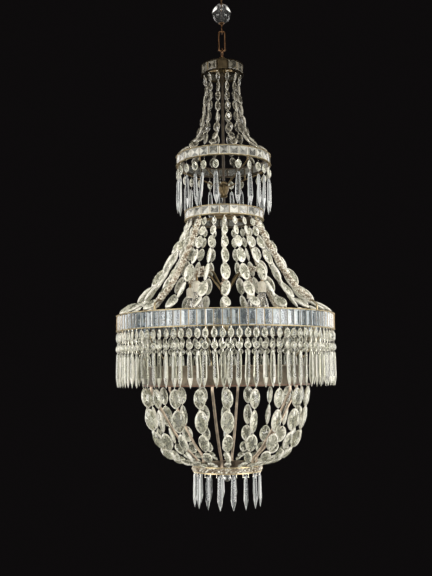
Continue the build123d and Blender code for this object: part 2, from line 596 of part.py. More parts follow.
with BuildPart() as main_fringe_rounds:
    length = FRINGE_ROUND[0]
    with Locations((0, 0, FRINGE_ROUND_TOP - length / 2)):
        with PolarLocations(FRINGE_R, FRINGE_DROPS, start_angle=FRINGE_PHASE):
            add(oval(*FRINGE_ROUND), rotation=(0, 0, 90))
keep(main_fringe_rounds, "main_fringe_rounds")

with BuildPart() as main_fringe_spears:
    with Locations((0, 0, FRINGE_SPEAR_TOP)):
        with PolarLocations(FRINGE_R, FRINGE_DROPS, start_angle=FRINGE_PHASE):
            add(spear(), rotation=(0, 0, 90))
keep(main_fringe_spears, "main_fringe_spears")

UPPER_TURN = 360.0 / UPPER_FRINGE_PLACES
UPPER_ANGLES = [UPPER_FRINGE_PHASE + k * UPPER_TURN for k in range(1, UPPER_FRINGE_PLACES)]


def upper_places(height):
    """Where the upper fringe hangs; its front place is empty, so that the hub shows."""
    return [Rotation(0, 0, angle) * Location((UPPER_FRINGE_R, 0, height)) for angle in UPPER_ANGLES]


with BuildPart() as upper_fringe_ovals:
    with Locations(*upper_places(UPPER_OVAL_TOP - UPPER_OVAL[0] / 2)):
        add(oval(*UPPER_OVAL), rotation=(0, 0, 90))
keep(upper_fringe_ovals, "upper_fringe_ovals")

with BuildPart() as upper_fringe_spears:
    with Locations(*upper_places(UPPER_SPEAR_TOP)):
        add(spear(), rotation=(0, 0, 90))
keep(upper_fringe_spears, "upper_fringe_spears")


def pin(top, bottom):
    """A straight wire pin between two heights, standing on Z."""
    with BuildPart() as wire:
        with BuildSketch(Plane.XY.offset(bottom)):
            Circle(WIRE_R)
        extrude(amount=top - bottom)
    return wire.part


with BuildPart() as fringe_pins:
    spans = [
        (MAIN_BOTTOM, FRINGE_OVAL_TOP),
        (FRINGE_OVAL_TOP - FRINGE_OVAL[0], FRINGE_ROUND_TOP),
        (FRINGE_ROUND_TOP - FRINGE_ROUND[0], FRINGE_SPEAR_TOP),
    ]
    for top, bottom in spans:
        with PolarLocations(FRINGE_R, FRINGE_DROPS, start_angle=FRINGE_PHASE):
            add(pin(top, bottom))
    for top, bottom in [(UPPER_BOTTOM, UPPER_OVAL_TOP), (UPPER_OVAL_TOP - UPPER_OVAL[0], UPPER_SPEAR_TOP)]:
        with Locations(*upper_places(0)):
            add(pin(top, bottom))
keep(fringe_pins, "fringe_pins")

# ---------------------------------------------------------------- basket

BAND_FOOT_R, BAND_SETBACK, BAND_WALL, BAND_ROLL, BAND_RIM = 209.0, 4.0, 1.8, 4.5, 1.5
BAND_FOOT_T, BAND_ROLL_T = 4.0, 3.0
with BuildPart() as basket_band:
    with BuildSketch(Plane.XZ):
        with BuildLine():
            outside, rim = BASKET_R - BAND_SETBACK, BASKET_R + BAND_RIM
            low, high = BASKET_BOTTOM + BAND_FOOT_T, BASKET_TOP - BAND_ROLL_T
            Polyline((BAND_FOOT_R, BASKET_BOTTOM), (rim, BASKET_BOTTOM), (rim, low), (outside, low),
                     (outside, high), (rim - 1, high), (rim - 1, BASKET_TOP),
                     (outside - BAND_ROLL, BASKET_TOP), (outside - BAND_ROLL, high),
                     (outside - BAND_WALL, high), (outside - BAND_WALL, low), (BAND_FOOT_R, low), close=True)
        make_face()
    revolve(axis=Axis.Z)
keep(basket_band, "basket_band")

with BuildPart() as basket_hangers:
    with PolarLocations(0, RIBS, start_angle=RIB_PHASE):
        add(bent_bar(HANGER_PATH, HANGER_BENDS, HANGER_R))
keep(basket_hangers, "basket_hangers")

with BuildPart() as basket_ribs:
    with PolarLocations(0, RIBS, start_angle=RIB_PHASE):
        add(bent_bar(RIB_PATH, RIB_BENDS, RIB_R))
keep(basket_ribs, "basket_ribs")

with BuildPart() as basket_strand_ovals:
    add(strand_node(BASKET_STRANDS, BASKET_PHASE, strand_ovals(BASKET_PROFILE, BASKET_OVALS)).part)
keep(basket_strand_ovals, "basket_strand_ovals")

with BuildPart() as strand_wire_joints:
    tiers = [
        (CROWN_STRANDS, CROWN_PHASE, CROWN_PROFILE, CROWN_OVALS, CROWN_BOTTOM, UPPER_TOP),
        (TENT_STRANDS, TENT_PHASE, TENT_PROFILE, TENT_OVALS, NECK_BOTTOM, MAIN_TOP),
        (BASKET_STRANDS, BASKET_PHASE, BASKET_PROFILE, BASKET_OVALS, BASKET_BOTTOM, BOTTOM_TOP),
    ]
    for count, phase, profile, ovals, top, bottom in tiers:
        with PolarLocations(0, count, start_angle=phase):
            add(strand_wires(profile, ovals, top, bottom))
keep(strand_wire_joints, "strand_wire_joints")

# ---------------------------------------------------------------- bottom ring, finial and hinged drops

with BuildPart() as bottom_ring:
    with BuildSketch(Plane.XZ):
        with BuildLine():
            low, high = BOTTOM_BOTTOM + BOTTOM_LOWER_T, BOTTOM_TOP - BOTTOM_UPPER_T
            Polyline((BOTTOM_WALL_IN, BOTTOM_BOTTOM), (BOTTOM_R, BOTTOM_BOTTOM), (BOTTOM_R, low),
                     (BOTTOM_WALL_OUT, low), (BOTTOM_WALL_OUT, high), (BOTTOM_R, high),
                     (BOTTOM_R, BOTTOM_TOP), (BOTTOM_WALL_IN, BOTTOM_TOP), close=True)
        make_face()
    revolve(axis=Axis.Z)
    with Locations((0, 0, BOTTOM_BOTTOM + BOTTOM_CROSS_H)):
        Box(2 * BOTTOM_WALL_IN + 1, BOTTOM_CROSS_W, BOTTOM_CROSS_H)
        Box(BOTTOM_CROSS_W, 2 * BOTTOM_WALL_IN + 1, BOTTOM_CROSS_H)
        Cylinder(BOTTOM_HUB_R, BOTTOM_HUB_H)
keep(bottom_ring, "bottom_ring")

with BuildPart() as bottom_ring_beads:
    bead_z = BOTTOM_BOTTOM + BOTTOM_LOWER_T + RING_BEAD_R
    with Locations((0, 0, bead_z)):
        with PolarLocations(RING_BEAD_PLACE, RING_BEADS):
            Sphere(RING_BEAD_R)
keep(bottom_ring_beads, "bottom_ring_beads")

with BuildPart() as finial_ball:
    with Locations((0, 0, FINIAL_MID)):
        Sphere(FINIAL_R)
    add(turned([(3.5, BOTTOM_BOTTOM + 1.5), (2.0, BOTTOM_BOTTOM - 4), (2.0, FINIAL_MID)]))
keep(finial_ball, "finial_ball")

with BuildPart() as drop_stirrups:
    with PolarLocations(0, DROPS, start_angle=DROP_PHASE):
        with Locations((DROP_R, 0, DROP_BAR_Z)):
            Cylinder(DROP_BAR_R, 2 * STIRRUP_HALF_W + 3.0, rotation=(90, 0, 0))
        with Locations((DROP_R, STIRRUP_HALF_W, DROP_BAR_Z), (DROP_R, -STIRRUP_HALF_W, DROP_BAR_Z)):
            Cylinder(STIRRUP_LEG_R, BOTTOM_BOTTOM - DROP_BAR_Z, align=STANDING)
keep(drop_stirrups, "drop_stirrups")

with BuildPart() as drop_spear:
    with Locations((0, 0, DROP_HOLE_DOWN)):
        add(spear(), rotation=(0, 0, 90))
    Cylinder(DROP_BAR_R + FIT, SPEAR_W + 1, rotation=(90, 0, 0), mode=Mode.SUBTRACT)

for k in range(DROPS):
    angle = DROP_PHASE + k * 360.0 / DROPS
    place = (DROP_R * cos(radians(angle)), DROP_R * sin(radians(angle)), DROP_BAR_Z)
    with BuildPart() as bottom_prism:
        with Locations(Location(place, (0, 0, angle))):
            add(drop_spear.part)
    keep(bottom_prism, f"bottom_prism_{k + 1:02d}")
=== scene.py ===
"""Looks of the crystal chandelier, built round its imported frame.

Every crystal, bead, wire and bulb is laid out in millimetres and set on the frame in metres. Each
group of like pieces has its own operator, and the panel in the sidebar lists them.
"""

import math
import random
from collections import namedtuple

import bmesh
import bpy
from mathutils import Matrix, Vector


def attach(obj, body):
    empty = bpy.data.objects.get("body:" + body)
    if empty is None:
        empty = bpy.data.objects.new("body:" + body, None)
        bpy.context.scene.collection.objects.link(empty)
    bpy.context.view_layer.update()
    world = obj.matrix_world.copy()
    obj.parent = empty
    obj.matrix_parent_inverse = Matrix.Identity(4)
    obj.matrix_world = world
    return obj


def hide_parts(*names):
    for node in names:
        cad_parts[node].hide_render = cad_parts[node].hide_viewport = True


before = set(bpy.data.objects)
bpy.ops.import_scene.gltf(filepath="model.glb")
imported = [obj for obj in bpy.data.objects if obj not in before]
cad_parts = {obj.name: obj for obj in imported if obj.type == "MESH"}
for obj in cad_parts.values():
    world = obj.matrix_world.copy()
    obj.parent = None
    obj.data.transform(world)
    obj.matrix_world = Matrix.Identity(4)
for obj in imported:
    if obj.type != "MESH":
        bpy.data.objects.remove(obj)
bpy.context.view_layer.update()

bl_info = {
    "name": "Crystal chandelier",
    "version": (1, 0, 0),
    "blender": (4, 5, 0),
    "location": "View3D > Sidebar > Chandelier",
    "description": "Dresses the frame of a tent-and-bag chandelier with crystals, beads and brass",
    "category": "Add Mesh",
}

MM = 0.001
TO_METRES = Matrix.Scale(MM, 4)
FULL_TURN = 2 * math.pi
FRONT = -90.0  # degrees from +X to the side that is seen first
HANGING = "chandelier"  # the body that carries all but the ball and the bottom prisms

# ------------------------------------------------------------------ where the crystals hang, in mm
# Angles are in degrees. A lift makes facets lighter, and a shade is the range of a random lift.

# The strands: a profile of (radius, height) points, and each oval's pitch, width and thickness.
TIERS = {
    "crown": {
        # The crown's strands have a darker finish and a lower lift than the tent's: painted shade,
        # as less light falls at the top.
        "node": "crown_strand_ovals", "finish": "dusty_crystal", "lift": -0.08,
        "count": 12, "phase": FRONT + 15.0,
        "profile": [(54, -275), (46, -303), (50, -335), (54, -367), (58, -395), (66, -431),
                    (79, -462), (103, -487), (129, -504)],
        "ovals": [(26, 12, 7), (28, 13.5, 7.5), (30, 15, 8), (32, 16, 8.5), (33, 17.5, 9),
                  (34, 19, 9), (36, 20, 9), (36, 20, 9)],
    },
    "tent": {
        # The tent's lift makes its ovals lighter than the basket's in the same finish: painted
        # light, as they face up towards the light.
        "node": "tent_strand_ovals", "finish": "warm_crystal", "lift": 0.14,
        "count": 24, "phase": FRONT,
        "profile": [(104.5, -697), (118, -738), (137, -769), (159, -809), (184, -852), (219, -902),
                    (258, -937), (295, -955)],
        "ovals": [(24, 13, 7), (31, 18, 8.5), (40, 21, 9), (48, 24, 10), (55, 27, 10.5),
                  (58, 28, 11), (52, 26, 10)],
    },
    "basket": {
        "node": "basket_strand_ovals", "finish": "warm_crystal", "lift": -0.02,
        "count": 20, "phase": FRONT,
        "profile": [(227, -1155), (219, -1208), (204, -1270), (180, -1318), (150, -1347),
                    (119, -1357), (91, -1360)],
        "ovals": [(55, 32, 12), (64, 35, 12.5), (53, 31, 12), (42, 25, 10.5), (34, 19, 9),
                  (30, 14, 8)],
    },
}
OVAL_GAP = 2.88  # what an oval is shorter than its pitch
OVAL_TURN_LIMIT = 75.0
OVAL_WIDTHS = (0.94, 1.0)  # shares of the full width
OVAL_SHADE = (-0.1, 0.1)
TIE_R, TIE_REACH = 0.45, 3.12  # the wire between two ovals, and how far it goes into each
LOOP_R, LOOP_WIRE_R, LOOP_OUT = 1.15, 0.35, 1.1  # its loops, and how far out each one's middle is

# The ring crystals, in channels between two heights. The first place of the crown is its plaque.
Ring = namedtuple("Ring", "node face_r top bottom places width thickness finish lift")
# The crown ring's crystals take the crown's darker finish: painted shade, as less light falls at
# the top.
CROWN_RING = Ring("crown_ring_crystals", 59.0, -241.0, -270.0, 12, 25.0, 4.4, "dusty_crystal", 0.0)
MAIN_RING = Ring(
    "main_ring_baguettes", 300.0, -959.0, -1003.5, 90, 19.2, 7.0, "cool_crystal", -0.04)
RINGS = (
    CROWN_RING,
    Ring("upper_ring_crystals", 133.0, -508.0, -535.5, 30, 25.6, 4.4, "square_crystal", 0.12),
    Ring("neck_ring_crystals", 110.7, -665.5, -692.0, 26, 24.6, 4.4, "square_crystal", 0.14),
    MAIN_RING,
)
NECK_HEIGHT = -665.0  # the rod is bronze above the neck ring and ivory below it
FLANGE = 2.2  # height of a channel's edges
PLATE_PLAY = 0.4
SQUARE_BEVEL, BAGUETTE_BEVEL = 2.2, 2.6
PLATE_TIP = 3.0
PLATE_SHADE = (-0.18, 0.14)
STRIP_R, STRIP_SIDES, STRIP_SHORT, STRIP_IN = 0.7, 4, 1.2, 0.2  # the separators
GRAIN_R, GRAIN_PITCH, GRAIN_OUT, GRAIN_IN = 1.0, 2.3, 0.7, 0.9  # the beads along a ring's edges
BAND_LINE_R, BAND_LINE_Z, BAND_LINE_WIRE_R = 229.6, -1149.0, 1.3

# The fringes: rows of drops, each at a distance below the hook, and the pins between two of them.
Fringe = namedtuple("Fringe", "radius hook phase first places sway rows pins")
Row = namedtuple("Row", "piece node seed finish size down")
SPEAR = (90.0, 15.0, 9.0)  # length, width and thickness, as in the sizes of the ovals
FRINGES = (
    Fringe(297.5, -1003.5, FRONT + 2.0, 0, 90, 1.0, (
        Row("main_fringe_oval_row", "main_fringe_ovals", "fo", "warm_crystal",
            (25.0, 15.6, 7.5), -17.0),
        Row("main_fringe_round_row", "main_fringe_rounds", "fr", "warm_crystal",
            (18.5, 17.6, 9.0), -47.0),
        Row("main_fringe_spear_row", "main_fringe_spears", "fs", "drop_crystal", SPEAR, -60.5),
    ), ((-0.2, -6.5), (-26.0, -40.0), (-54.0, -62.0))),
    Fringe(130.0, -535.5, FRONT + 4.0, 1, 26, 1.5, (
        Row("upper_fringe_oval_row", "upper_fringe_ovals", "uo", "warm_crystal",
            (25.0, 17.0, 8.0), -24.0),
        Row("upper_fringe_spear_row", "upper_fringe_spears", "us", "clear_crystal", SPEAR, -44.5),
    ), ((-0.2, -12.0), (-35.5, -46.0))),
)
DROP_OVAL_SIDES = 12
DROP_TURN = 14.0  # how far a drop turns round its pin, as a standard deviation
DROP_SHADE = (-0.12, 0.08)
PIN_R = 0.5

PRISMS, PRISM_PHASE, PRISM_R, PRISM_TOP = 16, FRONT + 9.3, 90.0, -1386.0
PRISM_SHADE = (-0.15, 0.05)

# The beaded ropes: paths of (radius, height) points, and radii of the rope and of a bead.
STAYS, STAY_PHASE, STAY_BEADS = 4, FRONT + 52.5, (5.4, 2.7)
STAY_PATH = [(109.8, -703.2), (127.5, -734.6), (148, -771), (171, -809), (197, -851), (236, -898),
             (258, -916.5), (279.5, -932.8)]
LAMP_BEADS = (5.2, 2.6)
LAMP_PATH = [(64, -836.8), (80, -836), (98, -836), (112, -839), (121, -847), (125, -860)]
BOTTOM_RING_R, BOTTOM_RING_Z, BOTTOM_RING_BEADS = 89.5, -1373.0, (4.6, 3.7)

# The ball, the foot and the bulbs: outlines of (radius, height) points.
NEAR_AXIS = 0.01
BALL_Z, BALL_R, BALL_HALF_HEIGHT, BALL_BORE_R, BALL_STEPS = -85.0, 26.6, 28.9, 2.7, 24
BALL_FIRST, BALL_SPAN = 0.095, 0.81  # shares of the half turn from its top to its foot
FOOT_Z, FOOT_R, FOOT_STEPS = -1401.0, 10.0, 16
FOOT_NECK = [(NEAR_AXIS, -1380.5), (3.5, -1380.6), (3.4, -1382.4), (2.0, -1386), (2.0, -1391.2),
             (NEAR_AXIS, -1391.3)]
LAMP_R, BULB_Z = 125.0, -902.0
BALL_SIDES, FOOT_SIDES, NECK_SIDES, BULB_SIDES = 48, 24, 20, 28
BULB_WALL = [(8, 0), (9.6, -10), (13.6, -22), (16.6, -34), (16.6, -42), (13.6, -54), (8.6, -65),
             (4.0, -74), (0.6, -78)]
BULB_INSIDE = [(max(r - 0.7, 0.3), min(z + 0.8, -1)) for r, z in reversed(BULB_WALL)]
CURL_R, CURL_TURN, CURL_Z, CURL_PITCH, CURL_STEPS = 3.0, 1.3, -22.0, 1.6, 18
LEADS_DOWN = [(1.5, -1), (2.4, -12)]
LEADS_UP = [(-2.4, -20), (-1.5, -1)]
FILAMENT_WIRE_R = 0.35


# ------------------------------------------------------------------ cut shapes
# A tone is a pair: its middle value, 0 clear to 1 white, and how far it varies. The white is
# painted highlight: facets at rims and edges are set whiter to stand in for the light that crystal
# catches there, and the spread varies tones at random.

METAL_TONE = (0.5, 0.1)
OVAL_ENDS = 1.14  # above 1, the ends of an oval are drawn in
OVAL_LEVELS = ((0.07, 1.0, 0.0), (0.30, 0.86, 0.5), (0.5, 0.44, 0.0))  # depth, outline, twist
# An oval's girdle and outer facets are whiter than its table and inner facets: painted highlights
# round its rim.
OVAL_GIRDLE_TONE, OVAL_TABLE_TONE = (0.95, 0.05), (0.34, 0.22)
OVAL_OUTER_TONES, OVAL_INNER_TONES = [(0.88, 0.12), (0.78, 0.22)], [(0.5, 0.3), (0.4, 0.3)]
SPEAR_SIDES, SPEAR_EDGES = 8, (0, 3, 4, 7)
SPEAR_LEVELS = ((0.0, 0.36), (0.03, 0.62), (0.11, 0.75), (0.72, 1.0), (0.87, 0.56), (0.998, 0.04))
# A spear's side and end facets are whiter than those in front and behind: painted highlights along
# its outline.
SPEAR_TONES = (  # of each belt's facets in front and behind, and of those at its sides
    ((0.6, 0.25), (0.6, 0.25)), ((0.6, 0.25), (0.6, 0.25)), ((0.36, 0.26), (0.74, 0.2)),
    ((0.62, 0.28), (0.84, 0.14)), ((0.62, 0.28), (0.84, 0.14)))
SPEAR_END_TONES = [(0.8, 0.1), (0.9, 0.1)]
BEVEL_UP, BEVEL_DOWN, TABLE_DOWN, RIDGE_SHARE = 0.8, 0.55, 0.5, 0.86
# A plate's bevels and sides are whiter than its back: painted highlights on its facets.
PLATE_BACK_TONE, PLATE_SIDE_TONE = (0.3, 0.1), (0.6, 0.2)
PLATE_BEVEL_TONES = ((0.62, 0.25), (0.78, 0.22))
RIDGE_TONES = [(0.5, 0.25), (0.24, 0.24), (0.5, 0.25), (0.56, 0.3)]
TABLE_TONES = [(0.42, 0.34)] * 4
BEAD_TONE = (0.66, 0.2)


class Cutting:
    """Corners, facets and tones gathered for one piece."""

    def __init__(self, seed):
        self.points, self.facets, self.tones = [], [], []
        self.chance = random.Random(seed)

    def add(self, shape, place=Matrix.Identity(4), lift=0.0):
        """Copy a (points, facets, tones) shape to a place, with its tones varied a little."""
        first = len(self.points)
        points, facets, tones = shape
        self.points += [place @ p for p in points]
        self.facets += [tuple(first + i for i in facet) for facet in facets]
        for tone, spread in tones:
            varied = tone + lift + self.chance.uniform(-spread, spread)
            self.tones.append(min(max(varied, 0.0), 1.0))

    def piece(self, name, material, smooth):
        """Make the mesh object, with outward normals and the tones as a face attribute."""
        mesh = bpy.data.meshes.new(name)
        mesh.from_pydata([tuple(p) for p in self.points], [], self.facets)
        tone = mesh.attributes.new("tone", "FLOAT", "FACE")
        tone.data.foreach_set("value", self.tones)
        worked = bmesh.new()
        worked.from_mesh(mesh)
        bmesh.ops.recalc_face_normals(worked, faces=worked.faces)
        worked.to_mesh(mesh)
        worked.free()
        mesh.polygons.foreach_set("use_smooth", [smooth] * len(mesh.polygons))
        mesh.materials.append(material)
        made = bpy.data.objects.new(name, mesh)
        bpy.context.scene.collection.objects.link(made)
        return made


def polar(radius, angle, z=0.0):
    """A point at an angle, in radians, round Z."""
    return Vector((radius * math.cos(angle), radius * math.sin(angle), z))


def belts(levels, sides, closed=False):
    """Quads from each ring of corners to the next, and from the last to the first if closed."""
    facets = []
    for level in range(levels if closed else levels - 1):
        a, b = level * sides, (level + 1) % levels * sides
        for k in range(sides):
            n = (k + 1) % sides
            facets.append((a + k, a + n, b + n, b + k))
    return facets


def ends(levels, sides):
    """The faces that close the first and the last ring of corners."""
    return [tuple(range(sides)), tuple(range((levels - 1) * sides, levels * sides))]


def oval_cut(length, width, thickness, sides=16):
    """A flat oval along Z with faces towards +Y and -Y: a girdle, two rows of facets, a table."""
    points = []
    for sign in (1, -1):
        for depth, share, twist in OVAL_LEVELS:
            for k in range(sides):
                t = FULL_TURN * (k + twist) / sides
                side = math.copysign(abs(math.sin(t)) ** OVAL_ENDS, math.sin(t))
                points.append(Vector((width / 2 * share * side, sign * thickness * depth,
                                      length / 2 * share * math.cos(t))))
    back = len(OVAL_LEVELS) * sides
    facets = [(k, (k + 1) % sides, back + (k + 1) % sides, back + k) for k in range(sides)]
    tones = [OVAL_GIRDLE_TONE] * sides
    for girdle in (0, back):
        crown, table = girdle + sides, girdle + 2 * sides
        for k in range(sides):
            n = (k + 1) % sides
            facets += [(girdle + k, girdle + n, crown + k), (girdle + n, crown + n, crown + k),
                       (crown + k, crown + n, table + n), (crown + k, table + n, table + k)]
            tones += OVAL_OUTER_TONES + OVAL_INNER_TONES
        facets.append(tuple(range(table, table + sides)))
        tones.append(OVAL_TABLE_TONE)
    return points, facets, tones


def spear_cut(length, width, thickness):
    """A spear prism that hangs from the origin down -Z, with a ridge in front and behind."""
    points = []
    for down, share in SPEAR_LEVELS:
        for k in range(SPEAR_SIDES):
            t = FULL_TURN * k / SPEAR_SIDES
            points.append(Vector((width / 2 * share * math.cos(t),
                                  thickness / 2 * share * math.sin(t), -length * down)))
    facets = belts(len(SPEAR_LEVELS), SPEAR_SIDES) + ends(len(SPEAR_LEVELS), SPEAR_SIDES)
    tones = [pair[k in SPEAR_EDGES] for pair in SPEAR_TONES for k in range(SPEAR_SIDES)]
    return points, facets, tones + SPEAR_END_TONES


def plate_cut(width, height, thickness, bevel, ridge):
    """A bevelled plate that faces +X: ridge=True has a ridge up its table, else four low facets."""
    half_w, half_h, front = width / 2, height / 2, thickness / 2
    table_w, table_h, low = half_w - bevel, half_h - bevel * BEVEL_UP, front - TABLE_DOWN
    corners = ((-1, -1), (1, -1), (1, 1), (-1, 1))
    points = [Vector((-front, y * half_w, z * half_h)) for y, z in corners]
    points += [Vector((front - bevel * BEVEL_DOWN, p.y, p.z)) for p in points]
    points += [Vector((low, y * table_w, z * table_h)) for y, z in corners]
    facets, tones = [(0, 1, 2, 3)], [PLATE_BACK_TONE]
    for k in range(4):
        n = (k + 1) % 4
        facets += [(k, n, 4 + n, 4 + k), (4 + k, 4 + n, 8 + n, 8 + k)]
        tones += [PLATE_SIDE_TONE, PLATE_BEVEL_TONES[k % 2]]
    if ridge:
        points += [Vector((front, 0, sign * table_h * RIDGE_SHARE)) for sign in (-1, 1)]
        facets += [(8, 9, 12), (9, 10, 13, 12), (10, 11, 13), (11, 8, 12, 13)]
        return points, facets, tones + RIDGE_TONES
    points.append(Vector((front, 0, 0)))
    facets += [(8, 9, 12), (9, 10, 12), (10, 11, 12), (11, 8, 12)]
    return points, facets, tones + TABLE_TONES


def bead_cut(radius):
    """A small cut bead with twenty facets."""
    golden = (1 + 5 ** 0.5) / 2
    scale = radius / math.hypot(1, golden)
    raw = [(-1, golden, 0), (1, golden, 0), (-1, -golden, 0), (1, -golden, 0),
           (0, -1, golden), (0, 1, golden), (0, -1, -golden), (0, 1, -golden),
           (golden, 0, -1), (golden, 0, 1), (-golden, 0, -1), (-golden, 0, 1)]
    facets = [(0, 11, 5), (0, 5, 1), (0, 1, 7), (0, 7, 10), (0, 10, 11), (1, 5, 9), (5, 11, 4),
              (11, 10, 2), (10, 7, 6), (7, 1, 8), (3, 9, 4), (3, 4, 2), (3, 2, 6), (3, 6, 8),
              (3, 8, 9), (4, 9, 5), (2, 4, 11), (6, 2, 10), (8, 6, 7), (9, 8, 1)]
    return [Vector(p) * scale for p in raw], facets, [BEAD_TONE] * len(facets)


def wire_cut(path, radius, sides=6):
    """A wire with closed ends through a list of points."""
    points = []
    for k, here in enumerate(path):
        ahead = path[min(k + 1, len(path) - 1)] - path[max(k - 1, 0)]
        turn = ahead.to_track_quat("Z", "Y").to_matrix()
        points += [here + turn @ polar(radius, FULL_TURN * s / sides) for s in range(sides)]
    facets = belts(len(path), sides) + ends(len(path), sides)
    return points, facets, [METAL_TONE] * len(facets)


def loop_cut(radius, wire_r, around=8, sides=4):
    """A small closed wire loop in the YZ plane."""
    points = []
    for k in range(around):
        t = FULL_TURN * k / around
        out = Vector((0, math.cos(t), math.sin(t)))
        for s in range(sides):
            u = FULL_TURN * s / sides
            points.append(out * (radius + wire_r * math.cos(u))
                          + Vector((wire_r * math.sin(u), 0, 0)))
    facets = belts(around, sides, closed=True)
    return points, facets, [METAL_TONE] * len(facets)


def turned_cut(outline, around):
    """A turned shape round Z from its (radius, height) outline."""
    points = [polar(r, FULL_TURN * k / around, z) for r, z in outline for k in range(around)]
    facets = belts(len(outline), around)
    return points, facets, [METAL_TONE] * len(facets)


# ------------------------------------------------------------------ placing

BEAD_SHADES = (0.3, 0.2, 0.1, 0.0, -0.15, -0.35, -0.55)  # the lifts that a bead may have
BEAD_AROUND, BEAD_ALONG = 2.05, 1.85  # pitches round and along a rope, in radii of a bead
BEAD_OUT, BEAD_SPIN = 0.35, 3.0  # how far a bead is off its place, in mm, and turned, in radians
PATH_STEPS, CIRCLE_STEPS = 6, 120


def about_z(degrees):
    """A turn round the chandelier's axis."""
    return Matrix.Rotation(math.radians(degrees), 4, "Z")


def at(x, y, z):
    """A shift, in mm."""
    return Matrix.Translation((x, y, z))


def place_of(k, count, phase, radius, z):
    """Where the k-th of some like things round the axis sits, its X outwards."""
    return about_z(phase + k * 360.0 / count) @ at(radius, 0, z)


def radial(points):
    """Points in the XZ plane from (radius, height) pairs."""
    return [Vector((r, 0, z)) for r, z in points]


def walk(profile, pitches):
    """Points along a polyline of (radius, height), set apart in the ratio of the pitches."""
    steps = [math.dist(a, b) for a, b in zip(profile, profile[1:])]
    scale = sum(steps) / sum(pitches)
    points, run = [profile[0]], 0.0
    for pitch in pitches:
        run += pitch * scale
        left, k = run, 0
        while k < len(steps) - 1 and left > steps[k]:
            left -= steps[k]
            k += 1
        share = min(left / steps[k], 1.0)
        a, b = profile[k], profile[k + 1]
        points.append((a[0] + share * (b[0] - a[0]), a[1] + share * (b[1] - a[1])))
    return points


def seat(low, high, turn):
    """Where an oval sits between two (radius, height) points, turned round its wire."""
    up = Vector((high[0] - low[0], 0, high[1] - low[1])).normalized()
    across = Vector((0, 1, 0))
    out = across.cross(up)
    place = Matrix((across, -out, up)).transposed().to_4x4()
    place.translation = Vector(((low[0] + high[0]) / 2, 0, (low[1] + high[1]) / 2))
    return place @ about_z(turn)


def smooth_path(corners):
    """A rounded run of points through a list of (radius, height) corners."""
    path = []
    for k in range(len(corners) - 1):
        before = Vector(corners[max(k - 1, 0)])
        a, b = Vector(corners[k]), Vector(corners[k + 1])
        after = Vector(corners[min(k + 2, len(corners) - 1)])
        for s in range(PATH_STEPS):
            t = s / PATH_STEPS
            path.append(0.5 * (2 * a + (b - before) * t
                               + (2 * before - 5 * a + 4 * b - after) * t ** 2
                               + (3 * a - before - 3 * b + after) * t ** 3))
    return radial(path + [corners[-1]])


def circle_path(radius, z):
    """Points of a full circle round the axis."""
    return [polar(radius, FULL_TURN * k / CIRCLE_STEPS, z) for k in range(CIRCLE_STEPS + 1)]


def wind_beads(cutting, path, rope_r, bead_r, place=Matrix.Identity(4)):
    """Wind small beads in a close spiral over a rope that follows a path of points."""
    bead = bead_cut(bead_r)
    around = max(3, round(FULL_TURN * rope_r / (bead_r * BEAD_AROUND)))
    lengths = [0.0]
    for a, b in zip(path, path[1:]):
        lengths.append(lengths[-1] + (b - a).length)
    count = int(lengths[-1] / (bead_r * BEAD_ALONG)) * around
    k = 0
    for number in range(count):
        run = lengths[-1] * number / count
        while k < len(path) - 2 and lengths[k + 1] < run:
            k += 1
        along = path[k + 1] - path[k]
        middle = path[k] + along * ((run - lengths[k]) / along.length)
        turn = along.to_track_quat("Z", "Y").to_matrix()
        t = FULL_TURN * number / around * (1 + 0.5 / around)
        out = rope_r + cutting.chance.uniform(-BEAD_OUT, BEAD_OUT)
        spin = Matrix.Rotation(cutting.chance.uniform(0, BEAD_SPIN), 4, "X")
        cutting.add(bead, place @ at(*(middle + turn @ polar(1, t) * out)) @ spin,
                    cutting.chance.choice(BEAD_SHADES))


# ------------------------------------------------------------------ finishes

def new_finish(name):
    """An empty material with its shader, and short ways to add and join nodes."""
    finish = bpy.data.materials.new(name)
    finish.use_nodes = True
    tree = finish.node_tree

    def add(kind, values=(), **settings):
        """A node with its settings, and with the values of its unjoined inputs."""
        node = tree.nodes.new(kind)
        for key, value in settings.items():
            setattr(node, key, value)
        fill(node, values)
        return node

    return finish, tree.nodes["Principled BSDF"], add, tree.links.new


def fill(node, values):
    """Set inputs of a node from a dictionary."""
    for key in values:
        node.inputs[key].default_value = values[key]


def ramp_of(add, stops):
    """A colour ramp from (position, colour) stops."""
    ramp = add("ShaderNodeValToRGB")
    while len(ramp.color_ramp.elements) < len(stops):
        ramp.color_ramp.elements.new(0.5)
    for element, (position, colour) in zip(ramp.color_ramp.elements, stops):
        element.position = position
        element.color = (*colour, 1.0)
    return ramp


def noise_of(add, join, scale, detail, distortion=0.0):
    """A noise texture laid in the piece's own space."""
    where = add("ShaderNodeTexCoord")
    noise = add("ShaderNodeTexNoise",
                {"Scale": scale, "Detail": detail, "Distortion": distortion})
    join(where.outputs["Object"], noise.inputs["Vector"])
    return noise


def dent(add, join, shader, noise, strength):
    """Roughen a surface by a noise."""
    bump = add("ShaderNodeBump", {"Strength": strength, "Distance": 0.0004})
    join(noise.outputs["Fac"], bump.inputs["Height"])
    join(bump.outputs[0], shader.inputs["Normal"])


